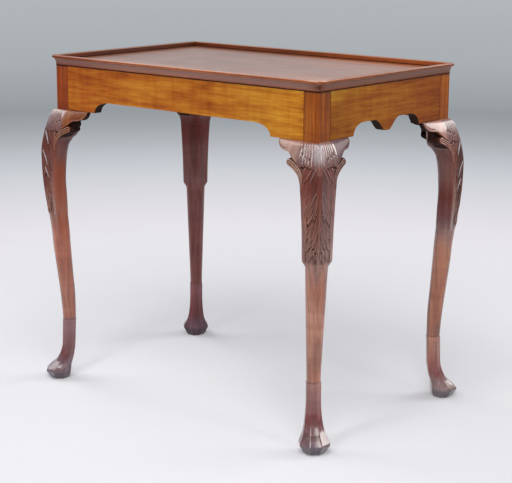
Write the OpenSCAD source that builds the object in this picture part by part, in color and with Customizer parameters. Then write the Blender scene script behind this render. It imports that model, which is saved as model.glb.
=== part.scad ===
/* [Frame] */
// Length of the frame over the posts, along the long side
frame_length = 715; // [640:5:900]
// Depth of the frame over the posts, along the short side
frame_depth = 446; // [400:2:600]
// Height of the top edge of the rails above the floor
frame_height = 703; // [640:1:780]
// Height of the rails at their shoulders
rail_height = 94; // [85:1:120]
// Thickness of the rails
rail_thickness = 20; // [18:1:24]
// Side of the square post at the head of each leg
post_side = 35; // [33:1:42]

/* [Joints] */
// How far each tenon runs into its post
tenon_length = 19; // [12:1:19]
// Thickness of the tenons
tenon_thickness = 8; // [6:1:9]
// Distance from the outer face of a rail to its tenon
tenon_setback = 6; // [5:0.5:7]
// How much lower than the rail the tenon is, at its top and at its foot
tenon_haunch = 13; // [8:1:18]
// Clearance on each side of a tenon or a screw
joint_gap = 0.15; // [0.1:0.05:0.3]

/* [Top] */
// Thickness of the board that forms the floor of the tray
board_thickness = 11.5; // [9:0.5:14]
// Height of the rim above the rails
rim_height = 22; // [20:1:28]
// How far the lip of the rim stands out over the rails
rim_overhang = 9.5; // [8:0.5:14]
// How far the inner face of the rim stands inside the face of the rails
rim_inset = 1; // [1:0.5:3]
// Height of the rounded lip
lip_height = 5.5; // [4.5:0.5:8]
// Radius of the corners of the lip, seen from above
lip_corner = 12; // [4:1:16]

/* [Aprons] */
// Straight foot of a long apron, from the post to its arch
long_shoulder = 81.5; // [60:0.5:100]
// Width of the curve that lifts a long apron to its soffit
long_curve = 41; // [25:1:60]
// Straight foot of a short apron, from the post to its arch
short_shoulder = 76; // [66:0.5:85]
// Width of the curve that lifts a short apron to its soffit
short_curve = 32; // [20:1:38]
// Height of the arches above the foot of the aprons
arch_rise = 24.5; // [15:0.5:35]
// Half the width of the pendant in the middle of a short apron
pendant_half = 46; // [36:1:48]

/* [Legs] */
// Height of the carved stocking above the floor
stocking_height = 137; // [110:1:160]
// How far the stocking stands out from the ankle
stocking_step = 1.3; // [0.5:0.1:2.5]
// Length of the carved part of the leg, below the rails
carved_length = 231; // [200:1:260]
// Distance from the rails down to the fullest point of the knee
knee_drop = 105; // [90:1:120]
// How far the knee stands out from the faces of the rails
knee_bulge = 29; // [22:0.5:32]
// Softening of the two side arrises of the knee
arris_radius = 3; // [2:0.5:4]

/* [Knee blocks] */
// Length of a knee block along its rail
block_length = 59; // [52:1:66]
// Depth of a knee block where it meets the leg
block_depth = 55; // [50:1:60]
// Thickness of a knee block behind the face of its rail
block_back = 10; // [8:1:18]
// Depth of the round lobe at the tip of a knee block
lobe_depth = 21; // [16:1:24]
// Length of the lobe, from the tip of the block to the cusp
lobe_length = 32; // [27:1:36]
// Reach of the scroll under a knee block, from the post
scroll_reach = 24; // [20:1:27]
// Radius of the scroll's rolled end
scroll_radius = 5.5; // [4:0.5:6.5]
// How much of the knee's bulge is gone at the tip of a knee block
tip_flatness = 0.55; // [0.3:0.05:0.9]

/* [Fixings] */
// Diameter of the screws' shanks
screw_d = 4.5; // [3.5:0.5:5]
// Diameter of the screws' heads
screw_head_d = 8.5; // [7:0.5:9]
// Length of the screws' shanks, under the head
screw_length = 40; // [36:1:42]
// How far the screws bite into the board
screw_bite = 6.5; // [4:0.5:7]
// Lean of the screws from upright
screw_lean = 14; // [12:1:16]
// Length of the glue blocks under the board
glue_block_length = 55; // [30:1:70]
// Width and height of the glue blocks
glue_block_side = 18; // [12:1:24]

/* [Hidden] */

half_length = frame_length / 2;
half_depth = frame_depth / 2;
rail_foot = frame_height - rail_height;
long_rail = frame_length - 2 * post_side;
short_rail = frame_depth - 2 * post_side;
board_top = frame_height + board_thickness;
tongue_z = rail_foot - carved_length;

// Small reach that carries a cut past the face it opens, and a tenon into its rail
past = 1;
// Steps in each quarter of a leg's outline and of the rim's rounded edges
quarter_steps = 6;
// Steps in the cove of the rim and in each curve of the aprons
arc_steps = 10;
// Room left at the blind end of each mortise and screw hole
blind_room = 0.5;

// Cove of the rim: the flat and the step under it, and the quirk between cove and lip
cove_foot = 0.8;
cove_step = 1;
quirk = 0.8;
// Rounding of the lip's outer side, and of its inner edge
lip_radius = lip_height / 2;
edge_radius = 2;

// Head of a screw, and the round pocket that lets it into the rail
screw_head_height = 3;
pocket_room = 0.5;
pocket_length = 34;

// Places of the screws and the glue blocks along the rails, from the middle
long_screws = [-long_rail * 0.22, 0, long_rail * 0.22];
short_screws = [0];
long_blocks = [-long_rail * 0.33, -long_rail * 0.11, long_rail * 0.11, long_rail * 0.33];
short_blocks = [-short_rail * 0.22, short_rail * 0.22];

// Pattern of the foot: height, centre along the diagonal, half length along it, half width
FOOT = [
    [0, 5.5, 17.6, 20], [2, 6.5, 20.8, 22.2], [5, 7.5, 23.5, 24.6], [11, 8.3, 26.6, 27.7],
    [19, 9.5, 29.2, 32.1], [26, 6.2, 26.4, 30], [34, 1.2, 22.2, 25.6], [40, -3, 19.6, 23],
    [50, -7.7, 17.5, 20.2], [60, -10.9, 16.3, 18.5], [75, -13.9, 15.2, 16.9],
    [95, -15, 15.1, 15.7]
];
STOCKING_MOUTH = [-16.6, 15.3, 15.6];

// Pattern of the shank: share of the way from the stocking up to the carving, then as above
SHANK = [
    [0, -16.5, 15.6, 15.4], [0.1, -15.9, 16.3, 15.5], [0.25, -14, 17.6, 16],
    [0.45, -9.5, 18.7, 17.5], [0.7, -4, 20.4, 19.8], [0.85, -1.5, 20.9, 21],
    [1, 2.5, 21.8, 22.3], [1.1, 5, 22.2, 23.1]
];

// Pattern of the knee: drop below the rails, inner face, outer corner radius, inner corner radius
KNEE = [
    [0, -post_side, 1.5, 1.5], [9, -post_side, 8.5, 3], [24, -post_side, 13.5, 6],
    [37, -post_side, 15, 10], [block_depth, -post_side, 14, 15], [64, -28.7, 13, 16],
    [76, -23.9, 11, 20], [89, -21.7, 10, 22], [109, -19.6, 10.7, 22], [129, -18.4, 11, 22],
    [159, -17, 14, 20], [189, -16.8, 19, 16], [225, -17.4, 26, 15], [245, -17.8, 27, 15]
];

GOLDEN = "#B5702F";
BROWN = "#7A4630";
DARK = "#6B3826";
PINE = "#C9A26B";
IRON = "#55504C";

// Smooth value of a pattern's column at a given place, by cubic curves between its rows
function slope(rows, i, col) =
    let (a = max(i - 1, 0), b = min(i + 1, len(rows) - 1))
    (rows[b][col] - rows[a][col]) / (rows[b][0] - rows[a][0]);
function row_below(rows, at, i = 0) =
    i >= len(rows) - 2 || rows[i + 1][0] > at ? i : row_below(rows, at, i + 1);
function pattern(rows, col, at) =
    let (i = row_below(rows, at),
         span = rows[i + 1][0] - rows[i][0],
         t = min(max((at - rows[i][0]) / span, 0), 1),
         p = rows[i][col], q = rows[i + 1][col],
         m = slope(rows, i, col) * span, n = slope(rows, i + 1, col) * span)
    p * (2 * pow(t, 3) - 3 * t * t + 1) + m * (pow(t, 3) - 2 * t * t + t)
    + q * (3 * t * t - 2 * pow(t, 3)) + n * (pow(t, 3) - t * t);
function ease(t) = let (c = min(max(t, 0), 1)) c * c * (3 - 2 * c);

// How far the knee stands out from the rail's face, at a drop below the rails
function bulge(drop) =
    drop < knee_drop
    ? knee_bulge * sqrt(1 - pow(1 - max(drop, 0) / knee_drop, 2))
    : knee_bulge - 3.7 * pow((drop - knee_drop) / (carved_length - knee_drop), 2);

// Directions of the points round a leg, in quarters from the outer corner
angles = [for (q = [0:3], s = [0:quarter_steps - 1]) 90 * (q + (s + 0.5) / quarter_steps)];

// Squared outline of the knee and the post, with its own radius at each corner
function squared_ring(z) =
    let (drop = max(rail_foot - z, 0),
         low = pattern(KNEE, 1, drop),
         high = bulge(drop),
         corners = [pattern(KNEE, 2, drop), min(arris_radius, 1.5 + drop / 10),
                    pattern(KNEE, 3, drop), min(arris_radius, 1.5 + drop / 10)])
    [for (a = angles)
        let (q = floor(a / 90), r = corners[q],
             cx = q == 0 || q == 3 ? high - r : low + r,
             cy = q < 2 ? high - r : low + r)
        [cx + r * cos(a), cy + r * sin(a)]];

// Share of the full radius that an eight-sided outline has at an angle
function octagon(a) = cos(22.5) / cos(a - 45 * round(a / 45));

// Round outline of the shank, or eight-sided outline of the stocking and the foot
function oval_ring(centre, along, across, sides) =
    [for (a = angles)
        let (r = 1 - sides * (1 - octagon(a)),
             u = centre + r * along * cos(a - 45),
             v = r * across * sin(a - 45))
        [(u - v) / sqrt(2), (u + v) / sqrt(2)]];
foot_rows = concat(FOOT, [concat([stocking_height], STOCKING_MOUTH)]);
function foot_ring(z) =
    oval_ring(pattern(foot_rows, 1, z), pattern(foot_rows, 2, z) + 0.4,
              pattern(foot_rows, 3, z) + 0.4, 1);
function shank_ring(z) =
    let (share = (z - stocking_height) / (tongue_z - stocking_height))
    oval_ring(pattern(SHANK, 1, share), pattern(SHANK, 2, share) - stocking_step,
              pattern(SHANK, 3, share) - stocking_step * (1 - ease(share * 3)), 0);
function blend(a, b, t) = [for (i = [0:len(a) - 1]) a[i] * (1 - t) + b[i] * t];

// Half the height over which the squared knee turns into the round shank
tongue_half = 5;
function leg_ring(z) =
    z <= stocking_height ? foot_ring(z)
    : blend(shank_ring(z), squared_ring(z), ease((z - tongue_z + tongue_half) / (2 * tongue_half)));

shank_count = 13;
knee_count = 11;
bend_drops = [76, 70, 64, 59, block_depth, 48, 41, 35, 28, 21, 15, 10, 6, 3, 1, 0];
shank_foot = stocking_height + 1;
shank_head = tongue_z - tongue_half;
knee_foot = tongue_z + tongue_half;
knee_head = rail_foot - bend_drops[0];
leg_heights = concat(
    [for (row = FOOT) row[0]],
    [22, 30, 45, 67, (FOOT[len(FOOT) - 1][0] + stocking_height) / 2, stocking_height],
    [for (i = [0:shank_count - 1]) shank_foot + (shank_head - shank_foot) * i / (shank_count - 1)],
    [tongue_z - 2, tongue_z + 2],
    [for (i = [0:knee_count - 1]) knee_foot + (knee_head - knee_foot) * i / knee_count],
    [for (drop = bend_drops) rail_foot - drop],
    [frame_height]
);

// List of heights in rising order
function sorted(list) =
    len(list) <= 1 ? list
    : let (pivot = list[floor(len(list) / 2)])
      concat(sorted([for (v = list) if (v < pivot) v]), [pivot],
             sorted([for (v = list) if (v > pivot) v]));

// Closed skin through rings of equal length, flat at both ends
module loft(rings) {
    n = len(rings[0]);
    last = len(rings) - 1;
    points = [for (ring = rings, p = ring) p];
    sides = [for (i = [0:last - 1], j = [0:n - 1])
        let (k = (j + 1) % n)
        each [[i * n + j, (i + 1) * n + j, i * n + k], [i * n + k, (i + 1) * n + j, (i + 1) * n + k]]];
    ends = [[for (j = [0:n - 1]) j], [for (j = [n - 1:-1:0]) last * n + j]];
    polyhedron(points, concat(sides, ends));
}

// A corner of the frame: the children stand with their outer corner on it, X and Y outwards
module at_corner(side_x, side_y) {
    translate([side_x * half_length, side_y * half_depth, 0])
        mirror([side_x < 0 ? 1 : 0, 0, 0])
            mirror([0, side_y < 0 ? 1 : 0, 0])
                children();
}

// Swaps X and Y, so that a piece of the long side serves the short side
module swap_sides() {
    mirror([1, -1, 0]) children();
}

tenon_foot = rail_foot + tenon_haunch;
tenon_height = rail_height - 2 * tenon_haunch;

module mortise() {
    translate([-post_side - past, -tenon_setback - tenon_thickness - joint_gap, tenon_foot - joint_gap])
        cube([past + tenon_length + blind_room, tenon_thickness + 2 * joint_gap,
              tenon_height + 2 * joint_gap]);
}

module leg() {
    color(BROWN)
        difference() {
            loft([for (z = sorted(leg_heights)) [for (p = leg_ring(z)) [p.x, p.y, z]]]);
            mortise();
            swap_sides() mortise();
        }
}

// Outline of a knee block: distance from the post, and drop below the rail
lobe_round = 0.62 * lobe_length;
cusp = [block_length - lobe_length, lobe_depth - 1.5];
neck = [scroll_reach / 2, cusp.y + 13.5];
scroll_eye = [scroll_reach - scroll_radius, neck.y + 1.5 + scroll_radius];
block_outline = concat(
    [[0, 0]],
    [for (i = [0:arc_steps])
        let (a = 90 * i / arc_steps)
        [block_length - lobe_round * (1 - cos(a)), lobe_depth * sin(a)]],
    [cusp, cusp + [-6, 3.5], (cusp + neck) / 2 + [-1.5, 1.5], neck],
    [for (i = [0:arc_steps])
        let (a = 180 * i / arc_steps)
        scroll_eye + scroll_radius * [sin(a), -cos(a)]],
    [[scroll_reach * 0.4, (scroll_eye.y + scroll_radius + block_depth) / 2], [0, block_depth]]
);

// Space under the knee's curved face, for a knee block: a section square to the rail
face_steps = 10;
length_steps = 8;
function face_ring(reach) =
    let (fade = 1 - tip_flatness * pow(max(reach, 0) / block_length, 2))
    concat(
        [for (j = [-1:face_steps])
            let (drop = j < 0 ? -past : (block_depth + past) * j / face_steps)
            [-post_side - reach, fade * bulge(drop), rail_foot - drop]],
        [[-post_side - reach, -block_back - past, rail_foot - block_depth - past],
         [-post_side - reach, -block_back - past, rail_foot + past]]
    );

module knee_block() {
    color(BROWN)
        intersection() {
            loft([for (i = [0:length_steps])
                face_ring((block_length + 2 * past) * i / length_steps - past)]);
            translate([-post_side, knee_bulge, rail_foot])
                rotate([90, 0, 0])
                    linear_extrude(height = knee_bulge + block_back)
                        polygon([for (p = block_outline) [-p.x, -p.y]]);
        }
}

// Quarter curve of an arch, from the apron's foot up to its soffit
function arch_curve(x, run, way) =
    [for (i = [1:arc_steps])
        let (a = 90 * i / arc_steps)
        [x + way * run * (1 - cos(a)), arch_rise * sin(a)]];

// Lower edge of half an apron, from the post to the middle
function long_edge() =
    concat([[-long_rail / 2, 0], [-long_rail / 2 + long_shoulder, 0]],
           arch_curve(-long_rail / 2 + long_shoulder, long_curve, 1));
pendant_tip = 6;
function pendant_edge() =
    [for (i = [0:arc_steps - 1])
        let (s = i / arc_steps)
        [-pendant_half + (pendant_half - pendant_tip) * s, arch_rise * (1 - ease(pow(s, 1.35)))]];
function short_edge() =
    concat([[-short_rail / 2, 0], [-short_rail / 2 + short_shoulder, 0]],
           arch_curve(-short_rail / 2 + short_shoulder, short_curve, 1),
           pendant_edge(), [[-pendant_tip, 0]]);
function mirrored(edge) = [for (i = [len(edge) - 1:-1:0]) [-edge[i].x, edge[i].y]];

// Stands a child, drawn along X at the middle of a side, on that side of the frame
module on_side(side) {
    turn = side == "front" ? 0 : side == "right" ? 90 : side == "back" ? 180 : 270;
    reach = side == "front" || side == "back" ? half_depth : half_length;
    rotate([0, 0, turn]) translate([0, -reach, 0]) children();
}

// Line on which a screw stands, from the seat of its head up into the board
module screw_line(x) {
    seat = (screw_length - screw_bite) * cos(screw_lean);
    translate([x, rail_thickness / 2 + 1 + seat * tan(screw_lean), frame_height - seat])
        rotate([screw_lean, 0, 0])
            children();
}

module screw_hole(x) {
    screw_line(x) {
        cylinder(d = screw_d + 2 * joint_gap, h = screw_length + past, $fn = 32);
        translate([0, 0, -pocket_length])
            cylinder(d = screw_head_d + 2 * pocket_room, h = pocket_length, $fn = 48);
    }
}

module screw() {
    translate([0, 0, -screw_head_height])
        cylinder(d = screw_head_d, h = screw_head_height, $fn = 48);
    cylinder(d = screw_d, h = screw_length, $fn = 32);
}

// Tenons at both ends of a rail, each rooted a little way inside it
module tenons(length) {
    for (end = [0, 1])
        mirror([end, 0, 0])
            translate([length / 2 - past, tenon_setback, tenon_foot])
                cube([past + tenon_length, tenon_thickness, tenon_height]);
}

// A rail with its shaped lower edge, drawn along X with its outer face on Y = 0
module apron(length, edge, screws) {
    color(GOLDEN)
        difference() {
            union() {
                translate([0, rail_thickness, rail_foot])
                    rotate([90, 0, 0])
                        linear_extrude(height = rail_thickness)
                            polygon(concat(edge, mirrored(edge),
                                           [[length / 2, rail_height], [-length / 2, rail_height]]));
                tenons(length);
            }
            for (x = screws)
                screw_hole(x);
        }
}

module top_board() {
    color(DARK)
        difference() {
            translate([rim_inset - half_length, rim_inset - half_depth, frame_height])
                cube([frame_length - 2 * rim_inset, frame_depth - 2 * rim_inset, board_thickness]);
            for (side = ["front", "back"], x = long_screws)
                on_side(side) board_hole(x);
            for (side = ["left", "right"], x = short_screws)
                on_side(side) board_hole(x);
        }
}

module board_hole(x) {
    screw_line(x)
        cylinder(d = screw_d + 2 * joint_gap, h = screw_length + blind_room, $fn = 32);
}

// Section of the rim: X outwards from the face of the rails, Y up from their top edge
cove_head = rim_height - lip_height;
rim_section = concat(
    [[-rim_inset, 0], [cove_foot, 0]],
    [for (i = [0:arc_steps])
        let (a = 90 * i / arc_steps)
        [rim_overhang - quirk - (rim_overhang - quirk - cove_foot) * cos(a),
         cove_step + (cove_head - cove_step) * sin(a)]],
    [[rim_overhang, cove_head + quirk]],
    [for (i = [0:quarter_steps])
        let (a = 90 * i / quarter_steps)
        [rim_overhang - lip_radius * (1 - cos(a)), rim_height - lip_radius * (1 - sin(a))]],
    [for (i = [0:quarter_steps])
        let (a = 90 * i / quarter_steps)
        [-rim_inset + edge_radius * (1 - sin(a)), rim_height - edge_radius * (1 - cos(a))]]
);

module rounded_plate(length, depth, radius, height) {
    translate([-length / 2 + radius, -depth / 2, 0]) cube([length - 2 * radius, depth, height]);
    translate([-length / 2, -depth / 2 + radius, 0]) cube([length, depth - 2 * radius, height]);
    for (x = [-1, 1], y = [-1, 1])
        translate([x * (length / 2 - radius), y * (depth / 2 - radius), 0])
            cylinder(r = radius, h = height, $fn = 64);
}

// One mitred side of the rim, drawn along X with the rails' face on Y = 0
module rim_strip(side) {
    long = side == "front" || side == "back";
    half = long ? half_length : half_depth;
    out = half + rim_overhang;
    tip = half - rim_inset;
    color(DARK)
        intersection() {
            on_side(side)
                intersection() {
                    translate([-out, 0, frame_height])
                        rotate([90, 0, 90])
                            linear_extrude(height = 2 * out)
                                mirror([1, 0]) polygon(rim_section);
                    translate([0, 0, frame_height - past])
                        linear_extrude(height = rim_height + 2 * past)
                            polygon([[-out, -rim_overhang], [out, -rim_overhang], [tip, rim_inset],
                                     [-tip, rim_inset]]);
                }
            translate([0, 0, frame_height - past])
                rounded_plate(frame_length + 2 * rim_overhang, frame_depth + 2 * rim_overhang,
                              lip_corner, rim_height + 2 * past);
        }
}

module glue_block(x) {
    translate([x - glue_block_length / 2, rail_thickness, frame_height])
        rotate([90, 0, 90])
            linear_extrude(height = glue_block_length)
                polygon([[0, 0], [glue_block_side, 0], [glue_block_side, -glue_block_side / 3],
                         [glue_block_side / 3, -glue_block_side], [0, -glue_block_side]]);
}

module glue_blocks() {
    color(PINE) {
        for (side = ["front", "back"], x = long_blocks)
            on_side(side) glue_block(x);
        for (side = ["left", "right"], x = short_blocks)
            on_side(side) glue_block(x);
    }
}

module top_screws() {
    color(IRON) {
        for (side = ["front", "back"], x = long_screws)
            on_side(side) screw_line(x) screw();
        for (side = ["left", "right"], x = short_screws)
            on_side(side) screw_line(x) screw();
    }
}

top_board();
rim_strip("front");  // rim_front
rim_strip("back");  // rim_back
rim_strip("left");  // rim_left
rim_strip("right");  // rim_right
on_side("front") apron(long_rail, long_edge(), long_screws);  // apron_front
on_side("back") apron(long_rail, long_edge(), long_screws);  // apron_back
on_side("left") apron(short_rail, short_edge(), short_screws);  // apron_left
on_side("right") apron(short_rail, short_edge(), short_screws);  // apron_right
at_corner(-1, -1) leg();  // leg_front_left
at_corner(1, -1) leg();  // leg_front_right
at_corner(-1, 1) leg();  // leg_back_left
at_corner(1, 1) leg();  // leg_back_right
at_corner(-1, -1) knee_block();  // knee_block_front_left_long
at_corner(-1, -1) swap_sides() knee_block();  // knee_block_front_left_short
at_corner(1, -1) knee_block();  // knee_block_front_right_long
at_corner(1, -1) swap_sides() knee_block();  // knee_block_front_right_short
at_corner(-1, 1) knee_block();  // knee_block_back_left_long
at_corner(-1, 1) swap_sides() knee_block();  // knee_block_back_left_short
at_corner(1, 1) knee_block();  // knee_block_back_right_long
at_corner(1, 1) swap_sides() knee_block();  // knee_block_back_right_short
glue_blocks();
top_screws();
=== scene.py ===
"""Dressed model of an old mahogany silver table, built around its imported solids.

Sizes are written in millimetres, as in the part's source, and meshes in metres, in the frame of
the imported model: +Z up, the floor at zero, the long sides of the table along X.
"""

import logging
import math
from dataclasses import dataclass, field, replace
from enum import Enum
from typing import Iterable, Sequence, Union

import bmesh
import bpy
import numpy as np
from mathutils import Matrix, Vector


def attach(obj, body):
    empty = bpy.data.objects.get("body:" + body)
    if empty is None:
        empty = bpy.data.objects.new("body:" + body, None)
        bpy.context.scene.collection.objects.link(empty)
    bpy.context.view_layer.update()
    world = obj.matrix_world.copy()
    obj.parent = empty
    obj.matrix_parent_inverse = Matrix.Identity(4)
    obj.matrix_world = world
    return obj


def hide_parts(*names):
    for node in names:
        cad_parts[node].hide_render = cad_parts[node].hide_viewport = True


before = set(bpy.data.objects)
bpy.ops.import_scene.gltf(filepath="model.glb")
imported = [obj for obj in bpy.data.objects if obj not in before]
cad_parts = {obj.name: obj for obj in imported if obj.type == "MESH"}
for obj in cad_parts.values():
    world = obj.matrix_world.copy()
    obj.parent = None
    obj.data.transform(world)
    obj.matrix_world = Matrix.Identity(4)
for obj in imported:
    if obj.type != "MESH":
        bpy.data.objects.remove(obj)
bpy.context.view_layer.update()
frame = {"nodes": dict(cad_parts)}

LOG = logging.getLogger("silver_table")
MM = 0.001
Three = tuple[float, float, float]
Colour = Three
Row = Sequence[float]
Spot = Union[float, np.ndarray]


def ease(t: Spot) -> np.ndarray:
    """Returns the smooth step from 0 to 1 of t."""
    c = np.clip(t, 0.0, 1.0)
    return c * c * (3.0 - 2.0 * c)


def rise(x: Spot, start: Spot, run: float) -> np.ndarray:
    """Returns a smooth step from 0 at start to 1 a run further; a run below 0 goes back."""
    return ease((x - start) / run)


def bell(x: Spot, middle: Spot, width: float) -> np.ndarray:
    """Returns a bell curve that is 1 at its middle."""
    return np.exp(-(((x - middle) / width) ** 2))


def cover(inside: np.ndarray, soft: Spot) -> np.ndarray:
    """Returns 1 inside an edge and 0 outside it, from the distance inside and its softness."""
    return np.clip(inside / soft + 0.5, 0, 1)


def blended(first: Spot, second: Spot, share: Spot) -> np.ndarray:
    """Returns first where share is 0 and second where it is 1."""
    return first * (1 - share) + second * share


def pattern(rows: Sequence[Row], column: int, at: Spot) -> np.ndarray:
    """Reads one column of a pattern between its rows, along smooth cubic curves.

    Args:
        rows: The pattern, with the place of each row in its first column.
        column: The column that is read.
        at: The places where it is read.

    Returns:
        The value at each place.
    """
    table = np.asarray(rows, float)
    x, y = table[:, 0], table[:, column]
    before = np.maximum(np.arange(len(x)) - 1, 0)
    after = np.minimum(np.arange(len(x)) + 1, len(x) - 1)
    slope = (y[after] - y[before]) / (x[after] - x[before])
    at = np.asarray(at, float)
    i = np.clip(np.searchsorted(x, at, side="right") - 1, 0, len(x) - 2)
    span = x[i + 1] - x[i]
    t = np.clip((at - x[i]) / span, 0.0, 1.0)
    start, end = slope[i] * span, slope[i + 1] * span
    return (y[i] * (2 * t**3 - 3 * t**2 + 1) + start * (t**3 - 2 * t**2 + t)
            + y[i + 1] * (3 * t**2 - 2 * t**3) + end * (t**3 - t**2))


def resample(line: np.ndarray, count: int) -> np.ndarray:
    """Spreads points evenly along a line of points.

    Args:
        line: The line's own points, one per row.
        count: How many points to return.

    Returns:
        Points an equal way apart, from the line's start to its end.
    """
    reach = np.concatenate([[0.0], np.cumsum(np.linalg.norm(np.diff(line, axis=0), axis=1))])
    at = np.linspace(0.0, reach[-1], count)
    return np.stack([np.interp(at, reach, line[:, k]) for k in range(line.shape[1])], axis=1)


def linear(colour: Colour) -> tuple[float, float, float, float]:
    """Turns a colour of a screen into the linear colour of a shader.

    Args:
        colour: The colour, from 0 to 255.

    Returns:
        The linear colour, with an alpha of 1.
    """
    values = []
    for part in colour:
        share = part / 255.0
        values.append(share / 12.92 if share <= 0.04045 else ((share + 0.055) / 1.055) ** 2.4)
    return (values[0], values[1], values[2], 1.0)


def grid_faces(rows: int, columns: int, closed: bool) -> list[list[int]]:
    """Joins the points of a grid into four-sided faces.

    Args:
        rows: How many rows the grid has.
        columns: How many points each row has.
        closed: Whether each row joins its own end.

    Returns:
        The points of each face.
    """
    i, j = np.meshgrid(np.arange(rows - 1), np.arange(columns if closed else columns - 1),
                       indexing="ij")
    k = (j + 1) % columns
    quads = np.stack([i * columns + j, i * columns + k, (i + 1) * columns + k,
                      (i + 1) * columns + j], axis=-1)
    return quads.reshape(-1, 4).tolist()


def tube_faces(rows: int, columns: int) -> list[list[int]]:
    """Joins rings of points into a tube that is closed at both ends.

    Args:
        rows: How many rings there are.
        columns: How many points each ring has.

    Returns:
        The points of each face, the two ends last.
    """
    last = (rows - 1) * columns
    ends = [list(range(columns))[::-1], list(range(last, last + columns))]
    return grid_faces(rows, columns, True) + ends


def place_object(name: str, data: bpy.types.ID) -> bpy.types.Object:
    """Makes an object and puts it into the scene.

    Args:
        name: The object's name.
        data: Its data, such as a mesh.

    Returns:
        The object.
    """
    made = bpy.data.objects.new(name, data)
    bpy.context.scene.collection.objects.link(made)
    return made


def poured(name: str, body: bmesh.types.BMesh, scale: float = 1.0) -> bpy.types.Mesh:
    """Turns a body into a mesh and frees it.

    Args:
        name: The mesh's name.
        body: The body.
        scale: How many times its size the mesh has.

    Returns:
        The mesh.
    """
    mesh = bpy.data.meshes.new(name)
    body.to_mesh(mesh)
    body.free()
    mesh.transform(Matrix.Scale(scale, 4))
    return mesh


def tidied(mesh: bpy.types.Mesh, angle: float = 50.0, weld: float = 0.02) -> bpy.types.Mesh:
    """Welds a mesh, turns its faces outwards and marks its sharp edges.

    Args:
        mesh: The mesh, in metres.
        angle: The angle in degrees above which an edge is sharp.
        weld: How close two points are when they become one, in millimetres.

    Returns:
        The same mesh.
    """
    body = bmesh.new()
    body.from_mesh(mesh)
    bmesh.ops.remove_doubles(body, verts=body.verts, dist=weld * MM)
    bmesh.ops.holes_fill(body, edges=[edge for edge in body.edges if edge.is_boundary])
    bmesh.ops.recalc_face_normals(body, faces=body.faces)
    body.to_mesh(mesh)
    body.free()
    mesh.polygons.foreach_set("use_smooth", np.ones(len(mesh.polygons), bool))
    mesh.set_sharp_from_angle(angle=math.radians(angle))
    mesh.update()
    return mesh


def way_to(azimuth: float, elevation: float) -> Vector:
    """Works out a direction from the table.

    Args:
        azimuth: Degrees from the front, round to the right.
        elevation: Degrees above the floor.

    Returns:
        The direction, one metre long.
    """
    around, up = math.radians(azimuth), math.radians(elevation)
    return Vector((math.sin(around) * math.cos(up), -math.cos(around) * math.cos(up),
                   math.sin(up)))


class Grain(Enum):
    """The way the grain of a piece runs."""

    ALONG_X = (0, 1, 2)
    ALONG_Y = (1, 0, 2)
    UPRIGHT = (2, 0, 1)


class Side(Enum):
    """A side of the table, by its quarter turns from the front."""

    FRONT = 0
    RIGHT = 1
    BACK = 2
    LEFT = 3

    @property
    def is_long(self) -> bool:
        """Whether it is one of the two long sides."""
        return self.value % 2 == 0

    @property
    def grain(self) -> Grain:
        """The grain of a piece that runs along the side."""
        return Grain.ALONG_X if self.is_long else Grain.ALONG_Y

    def turned(self, points: np.ndarray) -> np.ndarray:
        """Turns points from the front to this side, about the middle of the table.

        Args:
            points: The points, one per row.

        Returns:
            The turned points.
        """
        a = math.radians(90 * self.value)
        turn = np.array([[math.cos(a), -math.sin(a), 0], [math.sin(a), math.cos(a), 0], [0, 0, 1]])
        return points @ turn.T


class Wire:
    """A socket of numbers, whose arithmetic adds Math nodes to its bench."""

    def __init__(self, bench: "Bench", socket: bpy.types.NodeSocket) -> None:
        """Wraps a socket that belongs to a bench's material."""
        self.bench = bench
        self.socket = socket

    def _math(self, operation: str, *values: "Value") -> "Wire":
        """Adds a Math node that works on the values."""
        return self.bench.wire("ShaderNodeMath", {"operation": operation}, dict(enumerate(values)))

    def __add__(self, other: "Value") -> "Wire":
        """Adds a value."""
        return self._math("ADD", self, other)

    def __radd__(self, other: float) -> "Wire":
        """Adds this to a number."""
        return self._math("ADD", other, self)

    def __sub__(self, other: "Value") -> "Wire":
        """Takes a value off."""
        return self._math("SUBTRACT", self, other)

    def __rsub__(self, other: float) -> "Wire":
        """Takes this off a number."""
        return self._math("SUBTRACT", other, self)

    def __mul__(self, other: "Value") -> "Wire":
        """Multiplies by a value."""
        return self._math("MULTIPLY", self, other)

    def __rmul__(self, other: float) -> "Wire":
        """Multiplies a number by this."""
        return self._math("MULTIPLY", other, self)

    def __truediv__(self, other: "Value") -> "Wire":
        """Divides by a value."""
        return self._math("DIVIDE", self, other)

    def __rtruediv__(self, other: float) -> "Wire":
        """Divides a number by this."""
        return self._math("DIVIDE", other, self)

    def __pow__(self, other: "Value") -> "Wire":
        """Raises to a power."""
        return self._math("POWER", self, other)

    def __rpow__(self, other: float) -> "Wire":
        """Raises a number to this power."""
        return self._math("POWER", other, self)

    def clamped(self) -> "Wire":
        """Holds the value between 0 and 1."""
        return self.bench.wire("ShaderNodeClamp", {}, {"Value": self})

    def swing(self, amount: float) -> "Wire":
        """Turns a noise round a half into a swing round zero, of that amount."""
        return (self - 0.5) * amount

    def between(self, low: float, high: float) -> "Wire":
        """Rises smoothly from 0 at low to 1 at high."""
        limits = {"Value": self, "From Min": low, "From Max": high}
        return self.bench.wire("ShaderNodeMapRange", {"interpolation_type": "SMOOTHSTEP"}, limits)


Value = Union[Wire, float]


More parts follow.
